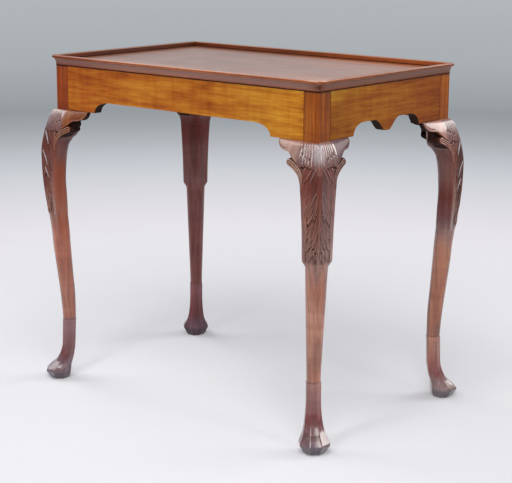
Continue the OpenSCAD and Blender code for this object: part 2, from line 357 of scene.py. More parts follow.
class Bench:
    """Makes the nodes of one material or world."""

    def __init__(self, owner: bpy.types.ID) -> None:
        """Clears a node tree, to start from an empty one.

        Args:
            owner: The material or world that owns it.
        """
        owner.use_nodes = True
        self.tree = owner.node_tree
        self.tree.nodes.clear()

    def node(self, kind: str, settings: dict[str, object],
             inputs: dict[Union[str, int], object]) -> bpy.types.Node:
        """Adds a node.

        Args:
            kind: The node's type.
            settings: Its own settings, set first. "stops" holds the stops of a ramp.
            inputs: The value, Wire or socket for each of its sockets, by name or number.

        Returns:
            The node.
        """
        made = self.tree.nodes.new(kind)
        for name, value in settings.items():
            if name == "stops":
                elements = made.color_ramp.elements
                while len(elements) < len(value):
                    elements.new(0.5)
                for element, (place, colour) in zip(elements, value):
                    element.position = place
                    element.color = colour
            else:
                setattr(made, name, value)
        for key, value in inputs.items():
            socket = made.inputs[key]
            if isinstance(value, (Wire, bpy.types.NodeSocket)):
                self.tree.links.new(getattr(value, "socket", value), socket)
            else:
                socket.default_value = value
        return made

    def wire(self, kind: str, settings: dict[str, object], inputs: dict[Union[str, int], object],
             output: Union[str, int] = 0) -> Wire:
        """Adds a node and wraps one of its outputs."""
        return Wire(self, self.node(kind, settings, inputs).outputs[output])

    def mix(self, share: Value, first: object, second: object, how: str = "MIX") -> Wire:
        """Mixes two colours.

        Args:
            share: How much of the second colour is taken.
            first: The colour, Wire or socket underneath.
            second: The colour, Wire or socket on top.
            how: The blend type.

        Returns:
            The mixed colour.
        """
        settings = {"data_type": "RGBA", "blend_type": how}
        return self.wire("ShaderNodeMix", settings, {0: share, 6: first, 7: second}, 2)

    def ramp(self, value: Value, stops: Iterable[tuple[float, Sequence[float]]]) -> bpy.types.Node:
        """Turns a value into a colour and an alpha by a ramp of stops."""
        return self.node("ShaderNodeValToRGB", {"stops": list(stops)}, {"Fac": value})

    def place(self) -> Wire:
        """Gives the place on the piece, in metres."""
        return self.wire("ShaderNodeTexCoord", {}, {}, "Object")

    def axes(self, vector: object) -> list[Wire]:
        """Splits a vector into its three parts."""
        made = self.node("ShaderNodeSeparateXYZ", {}, {0: vector})
        return [Wire(self, socket) for socket in made.outputs]

    def noise(self, vector: Wire, scale: float, detail: float = 2.0, warp: float = 0.0) -> Wire:
        """Reads a noise of that scale, detail and distortion at a vector."""
        return self.wire("ShaderNodeTexNoise", {}, {
            "Vector": vector, "Scale": scale, "Detail": detail, "Distortion": warp})

    def stretched(self, place: Sequence[Wire], scales: Sequence[float], detail: float = 2.0,
                  warp: float = 0.0, scale: float = 1.0) -> Wire:
        """Reads a noise that is stretched along the grain.

        Args:
            place: The place along the grain and the two across it.
            scales: How fine the noise is along each of them, per metre.
            detail: The noise's detail.
            warp: Its distortion.
            scale: Its own scale.

        Returns:
            The noise, from 0 to 1.
        """
        parts = {axis: part * fine for axis, (part, fine) in enumerate(zip(place, scales))}
        return self.noise(self.wire("ShaderNodeCombineXYZ", {}, parts), scale, detail, warp)

    def attribute(self, name: str) -> Wire:
        """Reads a number that the mesh carries at its points."""
        return self.wire("ShaderNodeAttribute", {"attribute_name": name}, {}, "Fac")

    def bump(self, height: Wire, strength: float, distance: float) -> Wire:
        """Roughens the surface by a height, of that strength and distance in metres."""
        return self.wire("ShaderNodeBump", {}, {
            "Strength": strength, "Distance": distance, "Height": height})

    def surface(self, shader: bpy.types.Node) -> None:
        """Sends a shader to the output."""
        self.node("ShaderNodeOutputMaterial", {"target": "ALL"}, {"Surface": shader.outputs[0]})


@dataclass(frozen=True)
class Wood:
    """A waxed and polished wood, with its figure, fibres, pores and wearing, and the shade,
    highlights and reflection that its meshes mark to be painted on it.
    """

    name: str
    light: Colour
    middle: Colour
    dark: Colour
    grain: Grain
    seed: float = 0.0
    stripe: float = 1.0
    curl: float = 0.08
    mottle: float = 0.9
    run: float = 2.6
    fineness: float = 1.0
    fibre: float = 0.35
    clouds: float = 1.0
    wander: float = 0.02
    patch: float = 0.0
    patch_tint: Colour = (255, 206, 150)
    # Colours painted where the meshes mark them: a grey that stands in for a reflection, and a tint
    # for lit and shaded sides.
    dust_colour: Colour = (138, 106, 98)
    dulling: float = 0.5
    stain_colour: Colour = (186, 108, 64)
    pores: float = 0.35
    roughness: float = 0.34
    polish: float = 0.8
    gloss: float = 0.14
    shine: float = 0.5
    # The colour of hollows, for grime and painted shade, and the pale colour of edges from wearing
    # and of painted highlights.
    hollow: Colour = (38, 16, 10)
    worn_highlight: Colour = (170, 110, 74)
    coat_index: float = 1.6
    zones: Sequence[Row] = ()
    zone_axis: int = 2
    seed_steps: Three = (3.1, 1.7, 2.3)
    stops: Three = (0.12, 0.5, 0.88)
    hollow_share: float = 0.85
    worn_highlight_share: float = 0.6
    dust_share: float = 0.7
    stain_share: float = 0.7
    bump_strength: float = 0.35
    bump_height: float = 0.0003
    cloud_scales: Three = (2.2, 9.0, 9.0)
    stripe_scales: Three = (1.0, 70.0, 55.0)
    fibre_scales: Three = (3.5, 420.0, 380.0)
    curl_scales: Three = (55.0, 9.0, 9.0)
    pore_scales: Three = (150.0, 1900.0, 1900.0)
    patch_scales: Three = (7.0, 16.0, 16.0)
    smear_scales: Three = (14.0, 14.0, 14.0)
    stripe_swing: float = 1.5
    curl_swing: float = 4.0
    pore_band: tuple[float, float] = (0.62, 0.72)
    patch_band: tuple[float, float] = (0.42, 0.6)

    def figure(self, bench: Bench, place: Sequence[Wire]) -> tuple[Wire, Wire, Wire]:
        """Works out the wood's figure from its clouds, stripes, fibres and curl.

        Args:
            bench: The material's bench.
            place: The place along the grain and the two across it.

        Returns:
            The level between dark and light, the fibres and the stripes.
        """
        cloud = bench.stretched(place, self.cloud_scales, 3.0, 0.8, self.clouds)
        bow = cloud * self.wander
        bent = [place[0], place[1] + bow, place[2] + bow]
        along, *across = self.stripe_scales
        stripe = bench.stretched(
            bent, (along * self.run, *(scale * self.fineness for scale in across)), 4.0, 0.3)
        along, *across = self.fibre_scales
        fine = bench.stretched(bent, (along * self.run, *across))
        curl = bench.stretched(place, self.curl_scales, 2.0, 0.6)
        level = (stripe.swing(self.stripe_swing * self.stripe) + cloud.swing(self.mottle)
                 + fine.swing(self.fibre) + curl.swing(self.curl_swing * self.curl) + 0.5)
        return level.clamped(), fine, stripe

    def zoned(self, bench: Bench, place: Wire, colour: Wire) -> tuple[Wire, Wire]:
        """Tints the wood by zones along one axis.

        Args:
            bench: The material's bench.
            place: The place along the zones' axis, in metres.
            colour: The wood's colour so far.

        Returns:
            The tinted colour, and the polish of each zone.
        """
        start, end = self.zones[0][0], self.zones[-1][0]
        tint = bench.ramp((place / MM - start) / (end - start), [
            ((row[0] - start) / (end - start), row[1:5]) for row in self.zones])
        return (bench.mix(1.0, colour, tint.outputs["Color"], "MULTIPLY"),
                Wire(bench, tint.outputs["Alpha"]) * self.polish)

    def material(self) -> bpy.types.Material:
        """Builds the wood's material.

        Returns:
            The material.
        """
        made = bpy.data.materials.new(self.name)
        bench = Bench(made)
        axes = bench.axes(bench.place())
        place = [axes[axis] + step * self.seed
                 for axis, step in zip(self.grain.value, self.seed_steps)]
        level, fine, stripe = self.figure(bench, place)
        pore = bench.stretched(place, self.pore_scales, 1.0).between(*self.pore_band)
        tones = (linear(self.dark), linear(self.middle), linear(self.light))
        colour: object = bench.ramp(level, zip(self.stops, tones)).outputs["Color"]
        sheen: Value = self.polish
        if self.zones:
            colour, sheen = self.zoned(bench, axes[self.zone_axis], colour)
        if self.patch:
            hue = bench.stretched(place, self.patch_scales, 2.0, 0.5).between(*self.patch_band)
            colour = bench.mix(hue * self.patch, colour, linear(self.patch_tint), "MULTIPLY")
        # Light painted from the meshes' marks: the hollow colour darkens hollows, as grime and
        # painted shade; the pale colour lightens edges from wearing and paints highlights; a grey
        # paints a reflection; and a tint paints light and shade on one side.
        recess, wear, dust, stain = (bench.attribute(name) for name in (
            "recess", "wear", "dust", "stain"))
        for share, tone in ((pore * self.pores, self.hollow),
                            (recess * self.hollow_share, self.hollow),
                            (wear * self.worn_highlight_share, self.worn_highlight),
                            (dust * self.dust_share, self.dust_colour),
                            (stain * self.stain_share, self.stain_colour)):
            colour = bench.mix(share.clamped(), colour, linear(tone))
        smear = bench.stretched(place, self.smear_scales, 3.0)
        roughness = (smear.swing(0.16) + recess * 0.45 + pore * 0.08 + self.roughness).clamped()
        coat = (smear.swing(-0.2) - recess * 1.2 - dust * self.dulling - stain * 0.6
                + sheen).clamped()
        height = fine.swing(0.5) - pore * 0.6 + stripe.swing(0.35) + smear.swing(3.0)
        bump = bench.bump(height, self.bump_strength, self.bump_height)
        bench.surface(bench.node("ShaderNodeBsdfPrincipled", {}, {
            "Base Color": colour, "Roughness": roughness, "Coat Weight": coat,
            "Coat Roughness": self.gloss, "Coat IOR": self.coat_index,
            "Specular IOR Level": self.shine, "Normal": bump}))
        return made


LEG_WOOD = Wood(
    "leg_mahogany", light=(255, 255, 255), middle=(202, 184, 185), dark=(142, 121, 126),
    grain=Grain.UPRIGHT, stripe=0.8, fineness=1.7, run=4.0, gloss=0.14, shine=0.2,
    coat_index=1.8, patch=0.45, worn_highlight=(206, 160, 140), dust_colour=(200, 198, 204), dulling=0.0)
EAR_WOOD = Wood(
    "ear_mahogany", light=(170, 100, 56), middle=(134, 70, 38), dark=(92, 42, 24),
    grain=Grain.UPRIGHT, polish=0.9, stripe=0.7, run=5.0, gloss=0.22, shine=0.15, patch=0.5,
    coat_index=1.8, hollow=(26, 12, 12), worn_highlight=(206, 160, 140))
RIM_WOOD = Wood(
    "rim_mahogany", light=(182, 104, 52), middle=(156, 80, 38), dark=(110, 54, 26),
    grain=Grain.ALONG_X, stripe=0.7, pores=0.25, worn_highlight=(200, 152, 122), gloss=0.1, polish=0.9,
    coat_index=1.5, shine=0.15)
BOARD_WOOD = Wood(
    "board_mahogany", light=(184, 110, 58), middle=(150, 84, 42), dark=(106, 55, 28),
    grain=Grain.ALONG_X, seed=31.0, stripe=0.9, gloss=0.28, polish=0.7, shine=0.35, curl=0.05,
    coat_index=1.5, zone_axis=0,
    zones=((-360, 0.7, 0.68, 0.7, 1), (60, 0.74, 0.72, 0.72, 1), (357, 1, 1, 0.92, 1)))
RAIL_WOOD = Wood(
    "rail_mahogany", light=(226, 150, 48), middle=(200, 112, 30), dark=(156, 72, 18),
    grain=Grain.ALONG_X, stripe=0.7, curl=0.1, mottle=1.15, clouds=1.8, wander=0.006, run=9.0,
    fineness=2.3, fibre=0.6, gloss=0.2, polish=0.15, shine=0.1, hollow=(38, 30, 26), pores=0.2,
    coat_index=1.5)
BLOCK_WOOD = Wood(
    "block_pine", light=(206, 166, 112), middle=(184, 138, 86), dark=(150, 102, 58),
    grain=Grain.ALONG_X, seed=44.0, roughness=0.62, polish=0.0, hollow=(96, 62, 34), pores=0.15)


@dataclass(frozen=True)
class Iron:
    """Old dark iron, with rust in its hollows."""

    name: str
    steel: Colour = (92, 88, 84)
    rust: Colour = (86, 50, 32)
    patch_scale: float = 260.0
    grit_scale: float = 1900.0
    bump_strength: float = 0.5
    bump_height: float = 0.0002

    def material(self) -> bpy.types.Material:
        """Builds the iron's material.

        Returns:
            The material.
        """
        made = bpy.data.materials.new(self.name)
        bench = Bench(made)
        patches = bench.noise(bench.place(), self.patch_scale, 4.0, 0.6)
        grit = bench.noise(bench.place(), self.grit_scale)
        rusty = (patches + grit.swing(0.4)).between(0.42, 0.66)
        colour = bench.mix(rusty, linear(self.steel), linear(self.rust))
        bench.surface(bench.node("ShaderNodeBsdfPrincipled", {}, {
            "Base Color": colour, "Roughness": rusty * 0.4 + 0.38, "Metallic": 1.0 - rusty * 0.8,
            "Normal": bench.bump(grit + patches, self.bump_strength, self.bump_height)}))
        return made


@dataclass
class Form:
    """A shape before it is a mesh."""

    points: np.ndarray
    faces: list[list[int]]
    facts: dict[str, np.ndarray] = field(default_factory=dict)

    @classmethod
    def tube(cls, grid: np.ndarray, facts: dict[str, np.ndarray]) -> "Form":
        """Closes rings of points into a tube, each point with its facts."""
        return cls(grid.reshape(-1, 3), tube_faces(*grid.shape[:2]), facts)

    @classmethod
    def joined(cls, forms: Sequence["Form"]) -> "Form":
        """Puts several forms with the same facts into one.

        Args:
            forms: The forms.

        Returns:
            The joined form.
        """
        faces: list[list[int]] = []
        offset = 0
        for form in forms:
            faces += [[index + offset for index in face] for face in form.faces]
            offset += len(form.points)
        facts = {name: np.concatenate([form.facts[name].ravel() for form in forms])
                 for name in forms[0].facts}
        return cls(np.vstack([form.points for form in forms]), faces, facts)

    def mesh(self, name: str, flat_ends: int = 0) -> bpy.types.Mesh:
        """Makes a smooth mesh that carries the form's facts.

        Args:
            name: The mesh's name.
            flat_ends: How many of the last faces are shaded flat.

        Returns:
            The mesh, in metres.
        """
        mesh = bpy.data.meshes.new(name)
        mesh.from_pydata((self.points * MM).tolist(), [], self.faces)
        smooth = np.arange(len(self.faces)) < len(self.faces) - flat_ends
        mesh.polygons.foreach_set("use_smooth", smooth)
        mesh.update()
        for fact, values in self.facts.items():
            mesh.attributes.new(fact, "FLOAT", "POINT").data.foreach_set(
                "value", values.ravel().astype(np.float32))
        return mesh


@dataclass
class Workshop:
    """Turns meshes into pieces that ride on the table."""

    made: list[str] = field(default_factory=list)

    def piece(self, node: str, mesh: bpy.types.Mesh, finish: Union[Wood, Iron]) -> None:
        """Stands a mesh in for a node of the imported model.

        Args:
            node: The node that the piece replaces.
            mesh: The piece's mesh.
            finish: Its finish.
        """
        made = place_object(f"{node}_dressed", mesh)
        made.data.materials.append(finish.material())
        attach(made, "root")
        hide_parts(node)
        self.made.append(made.name)
        LOG.info("%s: %d faces", made.name, len(mesh.polygons))


@dataclass
class Frame:
    """The sizes of the frame that every other piece is placed by."""

    length: float = 715.0
    depth: float = 446.0
    height: float = 703.0
    rail_height: float = 94.0
    rail_thickness: float = 20.0
    post_side: float = 35.0

    @property
    def rail_foot(self) -> float:
        """Height of the foot of the rails."""
        return self.height - self.rail_height

    def half(self, side: Side) -> float:
        """Half the length of a side, over the rails."""
        return (self.length if side.is_long else self.depth) / 2

    def reach(self, side: Side) -> float:
        """Distance of a side's face from the middle of the table."""
        return (self.depth if side.is_long else self.length) / 2

    def rail(self, side: Side) -> float:
        """Length of a side's rail between its posts."""
        return 2 * self.half(side) - 2 * self.post_side

    def place(self, side: Side) -> Matrix:
        """The place of a side's face, with X along it and Y inwards."""
        turn = Matrix.Rotation(math.radians(90 * side.value), 4, "Z")
        return turn @ Matrix.Translation((0, -self.reach(side), 0))

    def corners(self) -> dict[str, tuple[int, int]]:
        """Returns the side of each corner along X and Y, -1 at the left and at the front."""
        return {f"{deep}_{across}": (side_x, side_y)
                for side_x, across in ((-1, "left"), (1, "right"))
                for side_y, deep in ((-1, "front"), (1, "back"))}

    def at_corner(self, points: np.ndarray, side_x: int, side_y: int,
                  swap: bool = False) -> np.ndarray:
        """Moves points from a corner's own frame, X and Y outwards, to that corner.

        Args:
            points: The points, with the outer corner of the frame at the origin.
            side_x: -1 at the left, 1 at the right.
            side_y: -1 at the front, 1 at the back.
            swap: Whether X and Y are swapped first, for the short side.

        Returns:
            The moved points.
        """
        moved = points[..., [1, 0, 2]] if swap else points
        return moved * [side_x, side_y, 1] + [side_x * self.length / 2, side_y * self.depth / 2, 0]


@dataclass(frozen=True)
class Lobe:
    """One lobe of the carved leaf: its root and tip, across the knee and in height."""

    root: tuple[float, float]
    tip: tuple[float, float]
    half_width: float
    sag: float = 4.0
    veins: float = 1.5
    steps: int = 40
    root_depth: float = 1.5
    tip_rise: float = 1.3
    scoop: float = 0.9
    vein_depth: float = 0.28
    bead: float = 0.8
    bead_place: float = 0.82
    bead_width: float = 0.16
    soft_edge: float = 0.8

    def across(self, w: np.ndarray, z: np.ndarray) -> tuple[np.ndarray, np.ndarray, np.ndarray]:
        """Finds where points lie on the lobe.

        Args:
            w: Distance of each point from the ridge of the knee.
            z: Height of each point.

        Returns:
            The share of the way from root to tip, the distance from the middle line, and the
            lobe's half width there.
        """
        root, tip = np.array(self.root, float), np.array(self.tip, float)
        bow = 2 * np.array([0.55 * self.sag, -0.2 * self.sag]) + (root + tip) / 2
        t = np.linspace(0.0, 1.0, self.steps + 1)[:, None]
        line = (1 - t) ** 2 * root + 2 * t * (1 - t) * bow + t**2 * tip
        tangent = np.gradient(line, axis=0)
        tangent /= np.linalg.norm(tangent, axis=1, keepdims=True)
        near = np.argmin((w[..., None] - line[:, 0]) ** 2 + (z[..., None] - line[:, 1]) ** 2,
                         axis=-1)
        dw, dz = w - line[near, 0], z - line[near, 1]
        aside = dw * -tangent[near, 1] + dz * tangent[near, 0]
        beyond = dw * tangent[near, 0] + dz * tangent[near, 1]
        past_end = np.where(near == self.steps, np.maximum(beyond, 0), 0) + np.where(
            near == 0, np.maximum(-beyond, 0), 0)
        share = near / self.steps
        swell = 0.45 + 0.75 * np.sin(np.pi * np.clip(share * 0.9 + 0.1, 0, 1)) ** 0.7
        half = self.half_width * swell * (1.0 - 0.55 * share**4)
        return share, np.sqrt(aside**2 + past_end**2), half

    def surface(self, share: np.ndarray, q: np.ndarray) -> np.ndarray:
        """Works out the lobe's hollow, veins and beaded edge.

        Args:
            share: Share of the way from root to tip.
            q: Share of the way from the middle line to the edge.

        Returns:
            How far the surface lies under the knee's.
        """
        sunk = self.root_depth - self.tip_rise * share**1.4
        scoop = self.scoop * np.sin(np.pi * np.clip(share, 0.02, 0.98)) ** 0.5 * (1 - q**2)
        veins = self.vein_depth * (1 - np.cos(2 * np.pi * self.veins * q))
        veins = veins * (1 - share**3) * (1 - q**4)
        bead = self.bead * bell(q, self.bead_place, self.bead_width) * rise(share, 0.25, 0.3)
        return sunk + scoop + veins - bead

    def relief(self, w: np.ndarray, z: np.ndarray) -> tuple[np.ndarray, np.ndarray]:
        """Works out how the lobe covers a part of the knee.

        Args:
            w: Distance of each point from the ridge of the knee.
            z: Height of each point.

        Returns:
            How far the lobe's surface lies under the knee's, and how much of the point it covers.
        """
        share, away, half = self.across(w, z)
        return self.surface(share, np.clip(away / half, 0, 1)), cover(half - away, self.soft_edge)


@dataclass(frozen=True)
class Stroke(Lobe):
    """A raised stroke on the leaf, which a painted highlight makes bright."""

    sag: float = 3.0
    crest: float = 0.1
    fall: float = 1.9
    soft_edge: float = 0.6

    def surface(self, share: np.ndarray, q: np.ndarray) -> np.ndarray:
        """Returns how far the stroke's rounded back lies under the knee's surface."""
        return self.crest + self.fall * q**2


@dataclass(frozen=True)
class Carving:
    """The carved face of a knee: sunk ground, a leaf on a stem, a fan above it and drilled eyes.

    Places across it are distances from the knee's ridge. Heights are above the floor, and drops
    are below the rails.
    """

    ground: float = 2.3
    deepest: float = 4.2
    reed: float = 1.9
    reed_depth: float = 0.55
    border_widths: Three = (11.5, 4.5, 4.0)
    ground_start: float = 40.0
    stroke_band: tuple[float, float] = (480.0, 565.0)
    stem_widths: Three = (2.6, 2.2, 0.9)
    fan_half: float = 34.0
    fan_spread: float = 0.62
    fan_curve: float = 0.0045
    fan_drop: float = 44.0
    fan_point: float = 12.0
    fan_wave: float = 2.5
    rib_length: float = 3.0
    rib_start: float = 16.0
    ribs: int = 7
    eye_depth: float = 2.3
    eye_length: float = 1.5
    leaf: tuple[Lobe, ...] = (
        Lobe((0.5, 424), (0.5, 377), 4.6, 0.0),
        Lobe((3.0, 420), (9.5, 382), 3.4, 1.5), Lobe((5.0, 424), (19.0, 389), 4.4),
        Lobe((10.0, 438), (28.5, 405), 5.0), Lobe((10.0, 462), (31.0, 428), 5.4),
        Lobe((5.0, 478), (25.0, 409), 4.8, 3.0), Lobe((2.5, 476), (12.5, 412), 4.6, 1.5),
        Lobe((15.0, 508), (35.0, 468), 6.6), Lobe((15.0, 545), (37.0, 500), 7.0),
        Lobe((14.0, 582), (40.0, 535), 7.4),
        Lobe((6.0, 575), (26.5, 456), 7.0, 4.5), Lobe((3.0, 570), (13.0, 465), 6.0, 2.5))
    strokes: tuple[Stroke, ...] = (
        Stroke((8.0, 562), (24.0, 534), 2.2), Stroke((8.0, 519), (23.0, 488), 2.2),
        Stroke((14.0, 482), (24.0, 460), 1.9, 2.0))
    eyes: tuple[Three, ...] = (
        (40, 587, 1.7), (23, 579, 1.5), (33, 583, 1.5), (36, 565, 2.2), (41.5, 562.5, 1.8),
        (13, 466, 2.7), (9.5, 474, 1.8), (27.5, 456, 2.0), (13, 410.5, 1.7), (6, 402, 1.4))

    def fan(self, w: np.ndarray, drop: np.ndarray,
            span: np.ndarray) -> tuple[np.ndarray, np.ndarray]:
        """Works out the fan of ribs under the rails.

        Args:
            w: Distance of each point from the ridge.
            drop: Drop of each point below the rails.
            span: Distance of the side arris from the ridge there.

        Returns:
            The fan's depth, and how much of the point it covers.
        """
        edge = np.minimum(self.fan_half + self.fan_spread * drop - self.fan_curve * drop**2,
                          span - 0.5)
        phase = w / edge
        phase = np.clip(phase, 0, 2) ** 0.85 + 0.015 * np.sin(9.0 * phase + 0.4) * ease(phase * 5)
        wave = np.abs(np.sin(np.pi * self.ribs * np.clip(phase, 0, 1)))
        foot = (self.fan_drop + self.fan_point * (1 - ease(phase * 3.2))
                + self.fan_wave * np.sin(6.0 * phase + 0.6) + self.rib_length * wave)
        depth = (0.25 + 0.75 * ease(drop / self.rib_start)) * wave**1.1
        depth = depth * (1 - 0.55 * rise(drop, foot - 9, 9))
        soft = 0.9 + 16.0 * (1 - rise(phase, 0.2, 0.25))
        return depth, cover(foot - drop, soft) * cover(edge - w, 0.9)

    def relief(self, w: np.ndarray, z: np.ndarray, drop: np.ndarray,
               edge: np.ndarray) -> tuple[np.ndarray, np.ndarray]:
        """Works out how deep the carving lies under the knee's smooth surface.

        Args:
            w: Distance of each point from the ridge, round the knee.
            z: Height of each point.
            drop: Drop of each point below the rails.
            edge: Distance of each point from the side arris.

        Returns:
            The depth at each point, in millimetres, and the strength of the painted highlight on its
            strokes.
        """
        widest, foot_loss, head_loss = self.border_widths
        border = widest - foot_loss * rise(drop, 150, 70) - head_loss * rise(drop, 90, -40)
        depth = self.ground * rise(edge, border, 1.6) * rise(drop, self.ground_start, 8)
        for lobe in self.leaf:
            depth = blended(depth, *lobe.relief(w, z))
        low, high = self.stroke_band
        depth = depth * (1 - 0.4 * rise(z, low, 20) * rise(z, high, -20))
        # The strength of each stroke's painted highlight.
        painted_glint = np.zeros(depth.shape)
        for stroke in self.strokes:
            surface, share = stroke.relief(w, z)
            depth = blended(depth, surface, share)
            painted_glint = np.maximum(painted_glint, share * np.clip(1.2 - surface, 0, 1))
        stem, swell, taper = self.stem_widths
        stem_half = stem + swell * rise(z, 560, 40) - taper * rise(z, low, -90)
        reeds = 0.35 + self.reed_depth * np.abs(np.sin(np.pi * w / self.reed))
        depth = blended(depth, reeds, cover(stem_half - w, 1.0))
        depth = blended(depth, *self.fan(w, drop, w + edge))
        for eye_w, eye_z, size in self.eyes:
            depth = depth + self.eye_depth * (
                bell(w, eye_w, size) * bell(z, eye_z, size * self.eye_length))
        return np.clip(depth, 0, self.deepest), painted_glint


@dataclass(frozen=True)
class AgeAndLight:
    """What the years have done to one leg, and the light painted on it: tints, partly painted light
    and shade; polish; painted highlights on strokes; painted sheen on the fan and one half of the
    knee; painted light and shade on its plain side.
    """

    seed: float
    stocking: Colour
    shank: Colour
    knee: Colour
    post: Colour
    polish: float
    stroke_dust: float
    fan_dust: float
    half_sheen: float
    stain: float
    stain_foot: float
    stain_head: float
    stain_colour: Colour


def mirrored(half: np.ndarray, other: np.ndarray | None = None) -> np.ndarray:
    """Completes rings from their halves, which share the ridge and the inner corner.

    Args:
        half: The first half of each ring.
        other: The second half, where it isn't the same as the first.

    Returns:
        The whole rings.
    """
    return np.concatenate([half, (half if other is None else other)[:, -2:0:-1]], axis=1)


@dataclass
class Leg:
    """A cabriole leg: the post, the carved knee, the shank, the stocking and the foot.

    Rows of foot and shank hold the place, the middle's way out along the diagonal, and the half
    widths along and across it. Rows of the knee hold the drop below the rails, the inner face and
    the radii of the ridge and the inner corner.
    """

    frame: Frame
    carving: Carving = Carving()
    carved_length: float = 231.0
    knee_drop: float = 105.0
    knee_bulge: float = 29.0
    knee_taper: float = 3.7
    turn_drop: float = 24.0
    stocking_height: float = 137.0
    stocking_step: float = 1.3
    stocking_round: float = 0.5
    foot_skin: float = 0.4
    tongue_half: float = 8.0
    arris_radius: float = 3.0
    joint_radius: float = 0.35
    facet_hollow: float = 0.014
    facet_sharpness: int = 70
    sharp_angle: float = 38.0
    shine_drop: float = 22.0
    shine_fade: float = 26.0
    shine_half: float = 13.0
    half_sheen_foot: float = 370.0
    half_sheen_head: float = 575.0
    stain_fade: float = 60.0
    hollow_start: float = 0.9
    hollow_full: float = 3.5
    soft_passes: int = 3
    outer_steps: int = 88
    inner_steps: int = 16
    arc_steps: int = 24
    low_rings: tuple = (
        (0, 5, 5), (5, 17, 8), (17, 21, 7), (21, 60, 24), (60, 135.4, 26))
    foot: tuple = (
        (0, 5.5, 17.6, 20), (2, 6.5, 20.8, 22.2), (5, 7.5, 23.5, 24.6), (11, 8.3, 26.6, 27.7),
        (19, 9.5, 29.2, 32.1), (26, 6.2, 26.4, 30), (34, 1.2, 22.2, 25.6), (40, -3, 19.6, 23),
        (50, -7.7, 17.5, 20.2), (60, -10.9, 16.3, 18.5), (75, -13.9, 15.2, 16.9),
        (95, -15, 15.1, 15.7), (137, -16.6, 15.3, 15.6))
    shank: tuple = (
        (0, -16.5, 15.6, 15.4), (0.1, -15.9, 16.3, 15.5), (0.25, -14, 17.6, 16),
        (0.45, -9.5, 18.7, 17.5), (0.7, -4, 20.4, 19.8), (0.85, -1.5, 20.9, 21),
        (1, 2.5, 21.8, 22.3), (1.1, 5, 22.2, 23.1))
    knee: tuple = (
        (0, -35, 1.5, 1.5), (9, -35, 8.5, 3), (24, -35, 13.5, 6), (37, -35, 15, 10),
        (55, -35, 14, 15), (64, -28.7, 13, 16), (76, -23.9, 11, 20), (89, -21.7, 10, 22),
        (109, -19.6, 10.7, 22), (129, -18.4, 11, 22), (159, -17, 14, 20), (189, -16.8, 19, 16),
        (225, -17.4, 26, 15), (245, -17.8, 27, 15))
    # Zone colours partly paint light: the foot's lilac grey, the pale shank and the grey at the foot
    # of the knee stand in for a reflected floor, and the dark rows at the top of the post are a
    # painted shadow line under the rim.
    zones: tuple = (
        (0, (99, 88, 106), 1), (17, (99, 88, 106), 1), (20, (136, 114, 130), 1),
        (40, (134, 100, 114), 1), (56, (136, 60, 58), 1), (78, (146, 72, 66), 1),
        (110, (164, 110, 105), 1), (136, (172, 122, 114), 1), (137.3, (128, 76, 64), 1),
        (138.6, (128, 76, 64), 1), (140, (186, 130, 98), 0.8), (330, (192, 132, 100), 0.8),
        (385, (156, 128, 122), 0.8), (450, (136, 90, 78), 0.65), (540, (115, 54, 36), 0.42),
        (570, (116, 58, 42), 0.9), (608, (128, 68, 48), 1), (610, (182, 104, 36), 0.05),
        (701.2, (182, 104, 36), 0.05), (702, (60, 28, 18), 0.05), (703, (60, 28, 18), 0.05))
    shank_foot: float = 139.0
    knee_foot: float = 380.0
    # Each leg's tints, polish and painted light.
    ages: dict = field(default_factory=lambda: {
        "front_left": AgeAndLight(
            1.3, (0.9, 0.82, 1.0), (1.0, 0.86, 0.9), (1.0, 0.84, 0.76), (0.8, 0.64, 0.6),
            0.9, 0.9, 0.42, 0.0, 0.8, 300, 525, (152, 76, 40)),
        "front_right": AgeAndLight(
            2.3, (1.0, 1.0, 1.0), (1.0, 1.0, 1.0), (1.0, 1.0, 1.0), (0.84, 0.94, 0.72),
            1.0, 0.1, 0.62, 0.11, 0.4, 380, 560, (150, 84, 56)),
        "back_left": AgeAndLight(
            3.3, (0.7, 0.5, 0.7), (0.42, 0.27, 0.4), (0.84, 0.5, 0.5), (0.9, 0.8, 0.8),
            0.45, 0.0, 0.2, 0.0, 0.4, 460, 600, (100, 40, 34)),
        "back_right": AgeAndLight(
            4.3, (1.45, 1.55, 1.1), (0.97, 0.95, 0.9), (1.1, 1.25, 1.3), (1.0, 0.98, 0.4),
            0.9, 1.1, 0.44, 0.0, 0.95, 345, 502, (92, 34, 32))})

    @property
    def tongue(self) -> float:
        """Height at which the carving ends."""
        return self.frame.rail_foot - self.carved_length

    def bulge(self, drop: Spot) -> np.ndarray:
        """Works out how far the knee stands out from the rails.

        Args:
            drop: The drop below the rails.

        Returns:
            The distance from the rails' face.
        """
        down = np.maximum(np.asarray(drop, float), 0.0)
        above = self.knee_bulge * np.sqrt(np.clip(1 - (1 - down / self.knee_drop) ** 2, 0, 1))
        share = (down - self.knee_drop) / (self.carved_length - self.knee_drop)
        return np.where(down < self.knee_drop, above, self.knee_bulge - self.knee_taper * share**2)

    def heights(self) -> np.ndarray:
        """Places the leg's rings, close together where it is carved.

        Returns:
            The height of each ring.
        """
        top, step = self.frame.rail_foot, self.stocking_height
        low, high = self.tongue - self.tongue_half, self.tongue + self.tongue_half
        turn = np.linspace(0.0, math.acos(1 - self.turn_drop / self.knee_drop), 22)
        parts = [np.linspace(*row) for row in self.low_rings]
        parts += [
            step - 1 + np.sin(np.linspace(0, np.pi / 2, 6)), [step + 0.05],
            np.linspace(step + 0.8, low, 60), np.linspace(low, high, 20),
            np.arange(high + 1, top - self.turn_drop, 1.0),
            top - self.knee_drop * (1 - np.cos(turn)), [top + 0.05],
            np.linspace(top + 3, self.frame.height, 9)]
        return np.unique(np.round(np.concatenate(parts), 3))

    def arc(self, x: float, y: float, radius: float, start: float) -> np.ndarray:
        """Points of an arc of 45 degrees about a centre, from its start in degrees."""
        a = np.radians(start) + np.radians(np.linspace(0, 45, self.arc_steps + 1))[:, None]
        return np.hstack([x + radius * np.cos(a), y + radius * np.sin(a)])

